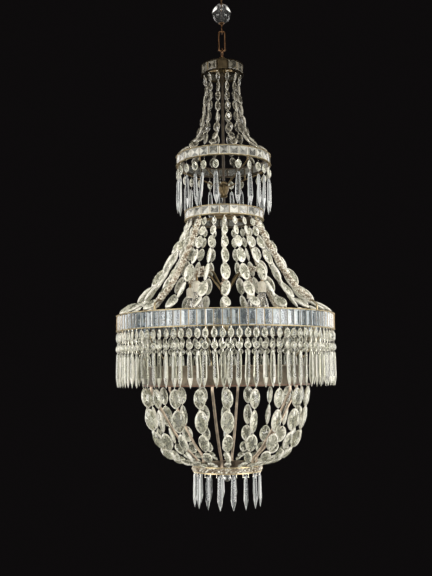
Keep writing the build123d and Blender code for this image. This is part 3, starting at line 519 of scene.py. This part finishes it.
def inward(add, join):
    """1 where a face looks at the chandelier's axis, 0 elsewhere: where the rings get their painted
    shade.
    """
    where = add("ShaderNodeTexCoord")
    flat = add("ShaderNodeVectorMath", {1: (1, 1, 0)}, operation="MULTIPLY")
    unit = add("ShaderNodeVectorMath", operation="NORMALIZE")
    dot = add("ShaderNodeVectorMath", operation="DOT_PRODUCT")
    less = add("ShaderNodeMath", {1: INWARD_BELOW}, operation="LESS_THAN")
    join(where.outputs["Object"], flat.inputs[0])
    join(flat.outputs[0], unit.inputs[0])
    join(unit.outputs[0], dot.inputs[0])
    join(where.outputs["Normal"], dot.inputs[1])
    join(dot.outputs["Value"], less.inputs[0])
    return less.outputs[0]


def above_neck(add, join):
    """1 above the neck ring, 0 below it."""
    where = add("ShaderNodeTexCoord")
    parts = add("ShaderNodeSeparateXYZ")
    more = add("ShaderNodeMath", {1: NECK_HEIGHT * MM}, operation="GREATER_THAN")
    join(where.outputs["Object"], parts.inputs[0])
    join(parts.outputs["Z"], more.inputs[0])
    return more.outputs[0]


# Crystals: colours of clear, grey, pale and white facets, clearness of clear and of white facets,
# strength of the mottle inside and its scale. A name stands for a colour of the panel. The pale and
# white facets are painted highlights.
CRYSTALS = {
    "cool_crystal": ((0.55, 0.62, 0.66), (0.40, 0.47, 0.52), (0.66, 0.73, 0.75), "crystal_white",
                     (0.88, 0.2), 0.45, 90.0),
    "warm_crystal": ((0.70, 0.71, 0.61), (0.56, 0.56, 0.45), (0.84, 0.82, 0.67), "crystal_warm",
                     (0.84, 0.10), 0.62, 90.0),
    "drop_crystal": ((0.62, 0.62, 0.54), (0.42, 0.42, 0.34), (0.66, 0.65, 0.52), "crystal_warm",
                     (0.92, 0.15), 0.3, 60.0),
    "clear_crystal": ((0.60, 0.62, 0.62), (0.42, 0.44, 0.44), (0.68, 0.69, 0.66), "crystal_white",
                      (0.9, 0.16), 0.16, 60.0),
    "square_crystal": ((0.66, 0.66, 0.60), (0.50, 0.50, 0.46), (0.78, 0.77, 0.69), "crystal_warm",
                       (0.82, 0.12), 0.4, 120.0),
    # A darker copy of the warm crystal for the crown: painted shade, as less light falls at the
    # top.
    "dusty_crystal": ((0.50, 0.47, 0.40), (0.28, 0.26, 0.20), (0.48, 0.44, 0.35),
                      (0.84, 0.80, 0.68), (0.9, 0.26), 0.35, 120.0),
    "bead_crystal": ((0.30, 0.22, 0.14), (0.56, 0.47, 0.35), (0.84, 0.77, 0.62), "crystal_warm",
                     (0.3, 0.05), 0.1, 160.0),
}
CRYSTAL_STOPS = (0.0, 0.4, 0.72, 1.0)

# Metals and enamels: bright, dull and dark colour, lowest and highest roughness, scale of the
# patina, how metallic, and where another colour goes. A name with three numbers stands for shares
# of a colour of the panel.
ENAMEL = ((0.78, 0.74, 0.62), (0.7, 0.65, 0.52), (0.45, 0.37, 0.25))
METALS = {
    "gilt_brass": (("gilt", 1.0, 0.5, 0.2), (0.3, 0.5), 120.0, 1.0, None),
    # The rings' faces that look at the axis get a near-black colour: painted shade inside the
    # rings.
    "ring_brass": (("gilt", 1.0, 0.5, 0.2), (0.3, 0.5), 120.0, 1.0, (inward, (0.10, 0.08, 0.06))),
    "aged_brass": (("aged", 1.0, 0.6, 0.3), (0.28, 0.5), 70.0, 1.0, None),
    # A darker copy of the aged brass for the crown ring and its trim: painted shade, as less light
    # falls at the top.
    "bronze_brass": (("aged", 0.24, 0.15, 0.09), (0.34, 0.55), 70.0, 1.0, None),
    "rose_brass": (("rose", 1.0, 0.7, 0.4), (0.3, 0.5), 50.0, 0.8, None),
    "amber_brass": (((0.30, 0.17, 0.08), (0.16, 0.08, 0.04), (0.06, 0.03, 0.02)),
                    (0.25, 0.45), 90.0, 1.0, None),
    "band_brass": (((0.24, 0.20, 0.14), (0.14, 0.11, 0.075), (0.06, 0.045, 0.03)),
                   (0.4, 0.6), 40.0, 0.5, None),
    "red_lacquer": (((0.20, 0.08, 0.05), (0.12, 0.05, 0.03), (0.05, 0.02, 0.02)),
                    (0.4, 0.6), 60.0, 0.2, None),
    "ivory_enamel": (ENAMEL, (0.25, 0.4), 90.0, 0.0, None),
    "rod_enamel": (ENAMEL, (0.25, 0.4), 90.0, 0.0, (above_neck, (0.065, 0.048, 0.03))),
    "bright_wire": (((0.80, 0.78, 0.70), (0.62, 0.58, 0.5), (0.4, 0.34, 0.26)),
                    (0.15, 0.3), 300.0, 1.0, None),
}
BRASS_STOPS = (0.68, 0.5, 0.3)
WORN_STOPS = [(0.5, (0, 0, 0)), (0.56, (1, 1, 1))]  # of a face's pointiness
SCRATCHES = 9  # how much finer the scratches are than the patina
INWARD_BELOW = -0.4  # how much of its normal an inward face turns away from the axis

# Glass: tint and roughness.
GLASSES = {"ball_glass": ((0.84, 0.84, 0.81), 0.01), "bulb_glass": ((0.96, 0.94, 0.9), 0.06)}

FINISHES = {}


def crystal_finish(name, tints, clearness, mottle, scale):
    """Cut crystal: clear where a facet's tone is low and white, as painted highlight, where it is
    high.
    """
    finish, shader, add, join = new_finish(name)
    tone = add("ShaderNodeAttribute", attribute_name="tone", attribute_type="GEOMETRY")
    noise = noise_of(add, join, scale, detail=4.0, distortion=1.6)
    centred = add("ShaderNodeMath", {1: mottle, 2: -mottle / 2}, operation="MULTIPLY_ADD")
    join(noise.outputs["Fac"], centred.inputs[0])
    mixed = add("ShaderNodeMath", operation="ADD", use_clamp=True)
    join(tone.outputs["Fac"], mixed.inputs[0])
    join(centred.outputs[0], mixed.inputs[1])
    ramp = ramp_of(add, list(zip(CRYSTAL_STOPS, tints)))
    join(mixed.outputs[0], ramp.inputs[0])
    join(ramp.outputs[0], shader.inputs["Base Color"])
    clear = add("ShaderNodeMapRange",
                {"From Min": 0.15, "To Min": clearness[0], "To Max": clearness[1]},
                interpolation_type="SMOOTHSTEP")
    join(mixed.outputs[0], clear.inputs["Value"])
    join(clear.outputs[0], shader.inputs["Transmission Weight"])
    fill(shader, {"Roughness": 0.03, "IOR": 1.55})
    return finish


def brass_finish(name, shades, rough, scale, metallic, second):
    """Brass or enamel with a cloudy patina, fine scratches and rubbed edges.

    second is a (mask, colour) pair: where the mask is 1 the piece has that colour instead. On the
    rings this is painted shade on the faces that look at the axis; on the rod it is its bronze
    above the neck ring.
    """
    finish, shader, add, join = new_finish(name)
    cloud = noise_of(add, join, scale, detail=5.0, distortion=0.6)
    fine = noise_of(add, join, scale * SCRATCHES, detail=2.0)
    ramp = ramp_of(add, sorted(zip(BRASS_STOPS, shades)))
    join(cloud.outputs["Fac"], ramp.inputs[0])
    edge = add("ShaderNodeNewGeometry")
    worn = ramp_of(add, WORN_STOPS)
    join(edge.outputs["Pointiness"], worn.inputs[0])
    mix = add("ShaderNodeMix", data_type="RGBA")
    fill(mix, {"B": (*shades[0], 1.0)})
    join(worn.outputs[0], mix.inputs["Factor"])
    join(ramp.outputs[0], mix.inputs["A"])
    colour = mix.outputs["Result"]
    if second:
        mask, other = second
        swap = add("ShaderNodeMix", data_type="RGBA")
        fill(swap, {"B": (*other, 1.0)})
        join(mask(add, join), swap.inputs["Factor"])
        join(colour, swap.inputs["A"])
        colour = swap.outputs["Result"]
    join(colour, shader.inputs["Base Color"])
    satin = add("ShaderNodeMapRange", {"To Min": rough[0], "To Max": rough[1]})
    join(fine.outputs["Fac"], satin.inputs["Value"])
    join(satin.outputs[0], shader.inputs["Roughness"])
    dent(add, join, shader, fine, strength=0.25)
    fill(shader, {"Metallic": metallic})
    return finish


def glass_finish(name, tint, roughness):
    """Blown or polished clear glass, with faint clouds in its surface."""
    finish, shader, add, join = new_finish(name)
    dent(add, join, shader, noise_of(add, join, scale=60.0, detail=2.0), strength=0.05)
    fill(shader, {"Base Color": (*tint, 1.0), "Roughness": roughness, "IOR": 1.5,
                  "Transmission Weight": 0.94})
    return finish


def make_finishes(look):
    """All the finishes, from the tables above and the colours in the panel."""
    for name, (*tints, white, clearness, mottle, scale) in CRYSTALS.items():
        tints.append(getattr(look, white) if isinstance(white, str) else white)
        FINISHES[name] = crystal_finish(name, tints, clearness, mottle, scale)
    for name, (shades, *others) in METALS.items():
        if isinstance(shades[0], str):
            colour = getattr(look, shades[0])
            shades = [tuple(share * v for v in colour) for share in shades[1:]]
        FINISHES[name] = brass_finish(name, shades, *others)
    for name, (tint, roughness) in GLASSES.items():
        FINISHES[name] = glass_finish(name, tint, roughness)


# ------------------------------------------------------------------ pieces

METALWORK = {
    "suspension_eye": "amber_brass", "ball_stem": "amber_brass", "ball_caps": "amber_brass",
    "hook_link": "amber_brass", "crown_loop": "amber_brass", "crown_spider": "aged_brass",
    # The crown ring's brass is a darker copy of the aged brass: painted shade at the top.
    "cable_gland": "gilt_brass", "crown_ring": "bronze_brass", "central_rod": "rod_enamel",
    "upper_spider": "aged_brass", "neck_spider": "aged_brass", "rod_collar": "rose_brass",
    "main_spider": "gilt_brass", "rod_nut": "gilt_brass", "upper_ring": "ring_brass",
    "neck_ring": "ring_brass", "main_ring": "ring_brass", "tent_stays": "gilt_brass",
    "lamp_arms": "aged_brass", "lamp_holders": "ivory_enamel", "basket_band": "band_brass",
    "basket_hangers": "gilt_brass", "basket_ribs": "rose_brass", "bottom_ring": "ring_brass",
    "drop_stirrups": "bright_wire",
}


def hang(cutting, name, finish, slot, *replaced, body=HANGING, smooth=False):
    """Turn gathered shapes into a piece that rides on its body."""
    made = cutting.piece(name, FINISHES[finish], smooth)
    made.data.transform(TO_METRES)
    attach(made, body)
    if replaced:
        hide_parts(*replaced)


def paint(node, finish):
    """Give a frame node its finish."""
    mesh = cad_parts[node].data
    if not mesh.materials:
        mesh.materials.append(FINISHES[finish])
    for k in range(len(mesh.materials)):
        mesh.materials[k] = FINISHES[finish]


class ChandelierLook(bpy.types.PropertyGroup):
    """Colours and irregularities that a user would change."""

    # The two crystal colours are those of the painted highlights on the brightest facets.
    crystal_white: bpy.props.FloatVectorProperty(
        name="Crystal white",
        description="Brightest facets of the baguettes, the upper spears and the bottom prisms",
        subtype="COLOR", default=(0.94, 0.97, 0.97), min=0, max=1)
    crystal_warm: bpy.props.FloatVectorProperty(
        name="Warm crystal",
        description="Brightest facets of the tent, the basket, the main fringe and the beads",
        subtype="COLOR", default=(0.97, 0.94, 0.84), min=0, max=1)
    gilt: bpy.props.FloatVectorProperty(
        name="Gilt brass", description="Rings, their beaded edges, the stays and the hangers",
        subtype="COLOR", default=(0.50, 0.41, 0.25), min=0, max=1)
    # The crown ring's darker share of this colour is painted shade.
    aged: bpy.props.FloatVectorProperty(
        name="Aged brass",
        description="Upper hubs, lamp arms, separators and, darker, the crown ring",
        subtype="COLOR", default=(0.27, 0.20, 0.11), min=0, max=1)
    rose: bpy.props.FloatVectorProperty(
        name="Rose brass", description="Ribs of the basket and the collar of the rod",
        subtype="COLOR", default=(0.68, 0.55, 0.42), min=0, max=1)
    turn: bpy.props.FloatProperty(
        name="Oval turn", description="How far the strand ovals turn round their wires",
        subtype="ANGLE", default=math.radians(32), min=0, max=math.pi / 2)
    sway: bpy.props.FloatProperty(
        name="Drop sway", description="How far the fringe drops hang out of line",
        subtype="ANGLE", default=math.radians(1.3), min=0, max=math.radians(6))


class ChandelierStage(bpy.types.PropertyGroup):
    """Light and floor."""

    key_power: bpy.props.FloatProperty(
        name="Key light", description="Power of the softboxes in front", subtype="POWER",
        unit="POWER", default=8.2, min=0)
    rim_power: bpy.props.FloatProperty(
        name="Rim light", description="Power of the two softboxes behind", subtype="POWER",
        unit="POWER", default=7.0, min=0)
    floor_height: bpy.props.FloatProperty(
        name="Floor height", description="Height of the floor in the frame of the chandelier",
        subtype="DISTANCE", unit="LENGTH", default=-2.35)
    floor_radius: bpy.props.FloatProperty(
        name="Floor radius", description="Radius of the round pale floor",
        subtype="DISTANCE", unit="LENGTH", default=1.5, min=0.5)


class CHANDELIER_OT_polish_metal(bpy.types.Operator):
    """Give every brass, wire and enamel part of the frame its finish"""

    bl_idname = "chandelier.polish_metal"
    bl_label = "Polish metal"

    def execute(self, context):
        make_finishes(context.scene.chandelier_look)
        for node, finish in METALWORK.items():
            paint(node, finish)
        return {"FINISHED"}


class CHANDELIER_OT_string_ovals(bpy.types.Operator):
    """String the flat ovals of the crown, the tent and the basket on their wires"""

    bl_idname = "chandelier.string_ovals"
    bl_label = "String ovals"

    def execute(self, context):
        spread = math.degrees(context.scene.chandelier_look.turn)
        for tier, facts in TIERS.items():
            points = walk(facts["profile"], [pitch for pitch, _, _ in facts["ovals"]])
            for strand in range(facts["count"]):
                cutting = Cutting(f"{tier}{strand}")
                wires = Cutting(f"{tier} wire {strand}")
                round_axis = about_z(facts["phase"] + strand * 360.0 / facts["count"])
                for high, low, (_, width, thickness) in zip(points, points[1:], facts["ovals"]):
                    turn = cutting.chance.gauss(0, spread)
                    turn = max(-OVAL_TURN_LIMIT, min(OVAL_TURN_LIMIT, turn))
                    shape = oval_cut(math.dist(high, low) - OVAL_GAP,
                                     width * cutting.chance.uniform(*OVAL_WIDTHS), thickness)
                    cutting.add(shape, round_axis @ seat(low, high, turn),
                                cutting.chance.uniform(*OVAL_SHADE) + facts["lift"])
                self.tie(wires, radial(points), round_axis)
                number = f"{strand + 1:02d}"
                hang(cutting, f"{tier}_strand_{number}", facts["finish"], "cut_crystal",
                     facts["node"])
                hang(wires, f"{tier}_wires_{number}", "bright_wire", "bright_wire",
                     "strand_wire_joints")
        return {"FINISHED"}

    @staticmethod
    def tie(wires, points, round_axis):
        """The wires between the ovals, each with two loops, and one at either end."""
        beyond = [points[0] + Vector((0, 0, 1)), *points, points[-1] - Vector((0, 0, 1))]
        for above, here, below in zip(beyond, points, beyond[2:]):
            legs = [(above - here).normalized(), (below - here).normalized()]
            path = [here + legs[0] * TIE_REACH, here, here + legs[1] * TIE_REACH]
            wires.add(wire_cut(path, TIE_R), round_axis)
            for leg in legs:
                turn = leg.to_track_quat("Z", "Y").to_matrix().to_4x4()
                wires.add(loop_cut(LOOP_R, LOOP_WIRE_R),
                          round_axis @ at(*(here + leg * LOOP_OUT)) @ turn)


class CHANDELIER_OT_set_plates(bpy.types.Operator):
    """Set the bevelled squares and baguettes in the channels of the rings"""

    bl_idname = "chandelier.set_plates"
    bl_label = "Set ring crystals"

    def execute(self, context):
        for ring in RINGS:
            cutting = Cutting(ring.node)
            ridge = ring is MAIN_RING
            shape = plate_cut(ring.width, ring.top - ring.bottom - 2 * FLANGE - PLATE_PLAY,
                              ring.thickness, BAGUETTE_BEVEL if ridge else SQUARE_BEVEL, ridge)
            middle = (ring.top + ring.bottom - PLATE_PLAY) / 2
            for k in range(1 if ring is CROWN_RING else 0, ring.places):
                tip = about_z(cutting.chance.uniform(-PLATE_TIP, PLATE_TIP))
                place = place_of(k, ring.places, FRONT, ring.face_r - ring.thickness / 2, middle)
                cutting.add(shape, place @ tip, cutting.chance.uniform(*PLATE_SHADE) + ring.lift)
            hang(cutting, ring.node + "_cut", ring.finish, "cut_crystal", ring.node)
        return {"FINISHED"}


class CHANDELIER_OT_hang_fringes(bpy.types.Operator):
    """Hang the two fringes of small ovals, rounds and spears from the rings"""

    bl_idname = "chandelier.hang_fringes"
    bl_label = "Hang fringes"

    def execute(self, context):
        sway = math.degrees(context.scene.chandelier_look.sway)
        pins = Cutting("fp")
        for fringe in FRINGES:
            cuttings = [Cutting(row.seed) for row in fringe.rows]
            shapes = [spear_cut(*SPEAR) if row.size is SPEAR else
                      oval_cut(*row.size, DROP_OVAL_SIDES) for row in fringe.rows]
            chance = cuttings[-1].chance
            for k in range(fringe.first, fringe.places):
                hook = place_of(k, fringe.places, fringe.phase, fringe.radius, fringe.hook)
                lean = math.radians(chance.gauss(0, fringe.sway * sway))
                hook = hook @ Matrix.Rotation(lean, 4, "X")
                for cutting, shape, row in zip(cuttings, shapes, fringe.rows):
                    turn = about_z(90 + chance.gauss(0, DROP_TURN))  # faces along the ring
                    cutting.add(shape, hook @ at(0, 0, row.down) @ turn,
                                chance.uniform(*DROP_SHADE))
                for pin in fringe.pins:
                    pins.add(wire_cut([Vector((0, 0, z)) for z in pin], PIN_R), hook)
            for cutting, row in zip(cuttings, fringe.rows):
                hang(cutting, row.piece, row.finish, "cut_crystal", row.node)
        hang(pins, "fringe_pin_wires", "bright_wire", "bright_wire", "fringe_pins")
        return {"FINISHED"}


class CHANDELIER_OT_hang_drops(bpy.types.Operator):
    """Hang the sixteen swinging prisms under the bottom ring, each on its own body"""

    bl_idname = "chandelier.hang_drops"
    bl_label = "Hang bottom prisms"

    def execute(self, context):
        for k in range(PRISMS):
            cutting = Cutting(f"drop{k}")
            place = place_of(k, PRISMS, PRISM_PHASE, PRISM_R, PRISM_TOP) @ about_z(90)
            cutting.add(spear_cut(*SPEAR), place, cutting.chance.uniform(*PRISM_SHADE))
            number = f"{k + 1:02d}"
            hang(cutting, f"bottom_spear_{number}", "clear_crystal", "cut_crystal",
                 f"bottom_prism_{number}", body=f"prism_{number}")
        return {"FINISHED"}


class CHANDELIER_OT_wind_beads(bpy.types.Operator):
    """Wind small beads over the stays, the lamp arms and the bottom ring"""

    bl_idname = "chandelier.wind_beads"
    bl_label = "Wind beads"

    def execute(self, context):
        for k in range(STAYS):
            angle = about_z(STAY_PHASE + k * 360.0 / STAYS)
            stay = Cutting(f"stay{k}")
            wind_beads(stay, smooth_path(STAY_PATH), *STAY_BEADS, angle)
            hang(stay, f"stay_beads_{k + 1}", "bead_crystal", "cream_beads", "stay_beading")
            arm = Cutting(f"arm{k}")
            wind_beads(arm, smooth_path(LAMP_PATH), *LAMP_BEADS, angle)
            hang(arm, f"lamp_arm_beads_{k + 1}", "bead_crystal", "cream_beads")
        ring = Cutting("bottom ring")
        wind_beads(ring, circle_path(BOTTOM_RING_R, BOTTOM_RING_Z), *BOTTOM_RING_BEADS)
        hang(ring, "bottom_ring_bead_winding", "bead_crystal", "cream_beads", "bottom_ring_beads")
        return {"FINISHED"}


class CHANDELIER_OT_trim_rings(bpy.types.Operator):
    """Add the separators between the ring crystals, the beaded edges and the line on the band"""

    bl_idname = "chandelier.trim_rings"
    bl_label = "Trim rings"

    def execute(self, context):
        for ring in RINGS:
            trim, strips = Cutting(ring.node + " trim"), Cutting(ring.node + " strips")
            strip = wire_cut(radial([(0, ring.bottom + STRIP_SHORT), (0, ring.top - STRIP_SHORT)]),
                             STRIP_R, STRIP_SIDES)
            for k in range(ring.places):
                strips.add(strip, place_of(k + 0.5, ring.places, FRONT, ring.face_r - STRIP_IN, 0))
            grain = bead_cut(GRAIN_R)
            grains = int(FULL_TURN * ring.face_r / GRAIN_PITCH)
            for k in range(grains):
                for z in (ring.top - GRAIN_IN, ring.bottom + GRAIN_IN):
                    trim.add(grain, place_of(k, grains, 0.0, ring.face_r + GRAIN_OUT, z))
            name = ring.node.replace("_crystals", "").replace("_baguettes", "")
            # The crown ring's trim takes the darker brass: painted shade at the top.
            hang(trim, name + "_trim", "bronze_brass" if ring is CROWN_RING else "gilt_brass",
                 "gilt_brass")
            hang(strips, name + "_separators", "aged_brass", "aged_brass")
        line = Cutting("band line")
        line.add(wire_cut(circle_path(BAND_LINE_R, BAND_LINE_Z), BAND_LINE_WIRE_R))
        hang(line, "basket_band_line", "red_lacquer", "beige_brass")
        return {"FINISHED"}


class CHANDELIER_OT_fit_glass(bpy.types.Operator):
    """Fit the blown bulbs, the hanging glass ball and the small ball at the foot"""

    bl_idname = "chandelier.fit_glass"
    bl_label = "Fit glass"

    def execute(self, context):
        wall = self.arc(BALL_R, BALL_HALF_HEIGHT, BALL_Z, BALL_FIRST, BALL_SPAN, BALL_STEPS)
        top, foot = (BALL_BORE_R, wall[0][1]), (BALL_BORE_R, wall[-1][1])
        self.turn("ball", [top, *wall, foot, top], BALL_SIDES, "hanging_glass_ball", "ball_glass",
                  "cut_crystal", "glass_ball", body="ball_drop")
        wall = self.arc(FOOT_R, FOOT_R, FOOT_Z, 0.0, 1.0, FOOT_STEPS)
        wall[0], wall[-1] = (NEAR_AXIS, wall[0][1]), (NEAR_AXIS, wall[-1][1])
        self.turn("foot", wall, FOOT_SIDES, "foot_glass_ball", "ball_glass", "cut_crystal",
                  "finial_ball")
        self.turn("neck", FOOT_NECK, NECK_SIDES, "foot_ball_neck", "gilt_brass", "gilt_brass")
        curl = [polar(CURL_R, CURL_TURN * k, CURL_Z - CURL_PITCH * k) for k in range(CURL_STEPS)]
        filament = wire_cut(radial(LEADS_DOWN) + curl + radial(LEADS_UP), FILAMENT_WIRE_R)
        for k in range(STAYS):
            place = place_of(k, STAYS, STAY_PHASE, LAMP_R, BULB_Z)
            self.turn(f"bulb{k}", BULB_WALL + BULB_INSIDE + BULB_WALL[:1], BULB_SIDES,
                      f"bulb_glass_{k + 1}", "bulb_glass", "bulb_glass", "lamp_bulbs", place=place)
            inside = Cutting(f"filament{k}")
            inside.add(filament, place)
            hang(inside, f"bulb_filament_{k + 1}", "bright_wire", "bright_wire")
        return {"FINISHED"}

    @staticmethod
    def arc(radius, half_height, middle, first, span, steps):
        """The outline of a ball, over a span of the half turn from its top to its foot."""
        turns = [math.pi * (first + span * k / steps) for k in range(steps + 1)]
        return [(radius * math.sin(t), middle + half_height * math.cos(t)) for t in turns]

    @staticmethod
    def turn(seed, outline, around, *facts, place=Matrix.Identity(4), body=HANGING):
        """A smooth turned piece; the facts are its name, finish, slot (not used) and replaced node.
        """
        cutting = Cutting(seed)
        cutting.add(turned_cut(outline, around), place)
        hang(cutting, *facts, body=body, smooth=True)


# ------------------------------------------------------------------ stage, in metres

# Softboxes: the power in the panel and its share, place, aim, width, spread in degrees.
MIDDLE = (0, 0, -1.15)
SOFTBOXES = {
    "key_left": ("key_power", 0.9, (-1.7, -1.15, -1.15), MIDDLE, 1.6, 66.0),
    "rim_left": ("rim_power", 0.9, (-1.6, 1.3, -1.0), MIDDLE, 2.2, 72.0),
    "key_right": ("key_power", 1.08, (1.7, -1.15, -1.15), MIDDLE, 1.6, 66.0),
    "rim_right": ("rim_power", 1.08, (1.6, 1.3, -1.0), MIDDLE, 2.2, 72.0),
    "top": ("key_power", 0.3, (0, -1.6, 0.6), (0, 0, -0.95), 0.9, 44.0),
    "front_low": ("key_power", 0.3, (0, -2.3, -1.9), MIDDLE, 1.2, 110.0),
}
LIGHT_COLOUR = (1.0, 0.98, 0.95)
NIGHT = (0.0042, 0.0036, 0.0038, 1)
FLOOR_STOPS = [(0.3, (0.60, 0.59, 0.57)), (0.7, (0.66, 0.65, 0.63))]
CAMERA_PLACE, CAMERA_TILT, CAMERA_ROLL = (-0.025, -2.275, -1.120), 96.0, -0.66
FOCAL_PX, PHOTO_HEIGHT_PX, SENSOR_HEIGHT = 820.0, 576.0, 24.0


class CHANDELIER_OT_set_stage(bpy.types.Operator):
    """Set the pale floor, the soft studio light and the camera"""

    bl_idname = "chandelier.set_stage"
    bl_label = "Set stage"

    def execute(self, context):
        stage = context.scene.chandelier_stage
        for name, (power, share, *facts) in SOFTBOXES.items():
            self.softbox(name, share * getattr(stage, power), *facts)
        self.floor(stage)
        world = bpy.data.worlds.new("dark_studio")
        world.use_nodes = True
        fill(world.node_tree.nodes["Background"], {"Color": NIGHT})
        context.scene.world = world
        context.scene.view_settings.view_transform = "Standard"
        self.camera(context.scene)
        return {"FINISHED"}

    @staticmethod
    def softbox(name, power, place, aim, size, spread):
        """A square area light that isn't seen itself."""
        light = bpy.data.lights.new(name, "AREA")
        light.shape = "SQUARE"
        light.size = size
        light.energy = power
        light.color = LIGHT_COLOUR
        light.spread = math.radians(spread)
        lamp = bpy.data.objects.new(name, light)
        lamp.location = place
        lamp.rotation_euler = (Vector(aim) - Vector(place)).to_track_quat("-Z", "Y").to_euler()
        lamp.visible_camera = False
        bpy.context.scene.collection.objects.link(lamp)

    @staticmethod
    def floor(stage):
        """A round pale floor with soft clouds."""
        disc = bmesh.new()
        bmesh.ops.create_circle(disc, cap_ends=True, segments=96, radius=stage.floor_radius)
        mesh = bpy.data.meshes.new("floor")
        disc.to_mesh(mesh)
        disc.free()
        finish, shader, add, join = new_finish("pale_floor")
        ramp = ramp_of(add, FLOOR_STOPS)
        join(noise_of(add, join, scale=3.0, detail=3.0).outputs["Fac"], ramp.inputs[0])
        join(ramp.outputs[0], shader.inputs["Base Color"])
        fill(shader, {"Roughness": 0.7})
        mesh.materials.append(finish)
        floor = bpy.data.objects.new("floor", mesh)
        floor.location.z = stage.floor_height
        bpy.context.scene.collection.objects.link(floor)

    @staticmethod
    def camera(scene):
        """The photograph's camera: level with the main fringe, tilted up and a little rolled."""
        lens = bpy.data.cameras.new("camera")
        lens.sensor_fit = "VERTICAL"
        lens.sensor_height = SENSOR_HEIGHT
        lens.lens = SENSOR_HEIGHT * FOCAL_PX / PHOTO_HEIGHT_PX
        camera = bpy.data.objects.new("camera", lens)
        tilt = Matrix.Rotation(math.radians(CAMERA_TILT), 4, "X")
        camera.matrix_world = Matrix.Translation(CAMERA_PLACE) @ tilt @ about_z(CAMERA_ROLL)
        scene.collection.objects.link(camera)
        scene.camera = camera


# ------------------------------------------------------------------ panel and start

OPERATORS = (
    CHANDELIER_OT_polish_metal, CHANDELIER_OT_string_ovals, CHANDELIER_OT_set_plates,
    CHANDELIER_OT_hang_fringes, CHANDELIER_OT_hang_drops, CHANDELIER_OT_wind_beads,
    CHANDELIER_OT_trim_rings, CHANDELIER_OT_fit_glass, CHANDELIER_OT_set_stage,
)


class CHANDELIER_PT_dressing(bpy.types.Panel):
    """Lists the chandelier's settings and operators"""

    bl_label = "Chandelier"
    bl_space_type = "VIEW_3D"
    bl_region_type = "UI"
    bl_category = "Chandelier"

    def draw(self, context):
        for group in (context.scene.chandelier_look, context.scene.chandelier_stage):
            for key in group.bl_rna.properties.keys():
                if key not in ("rna_type", "name"):
                    self.layout.prop(group, key)
        for operator in OPERATORS:
            self.layout.operator(operator.bl_idname)


CLASSES = (ChandelierLook, ChandelierStage, *OPERATORS, CHANDELIER_PT_dressing)


def register():
    """Add the classes and the two groups of settings."""
    for cls in CLASSES:
        bpy.utils.register_class(cls)
    bpy.types.Scene.chandelier_look = bpy.props.PointerProperty(type=ChandelierLook)
    bpy.types.Scene.chandelier_stage = bpy.props.PointerProperty(type=ChandelierStage)


def unregister():
    """Take them away again."""
    del bpy.types.Scene.chandelier_stage
    del bpy.types.Scene.chandelier_look
    for cls in reversed(CLASSES):
        bpy.utils.unregister_class(cls)


def main():
    """Dress the frame."""
    register()
    bpy.ops.chandelier.polish_metal()
    bpy.ops.chandelier.string_ovals()
    bpy.ops.chandelier.set_plates()
    bpy.ops.chandelier.hang_fringes()
    bpy.ops.chandelier.hang_drops()
    bpy.ops.chandelier.wind_beads()
    bpy.ops.chandelier.trim_rings()
    bpy.ops.chandelier.fit_glass()
    bpy.ops.chandelier.set_stage()


if __name__ == "__main__":
    main()
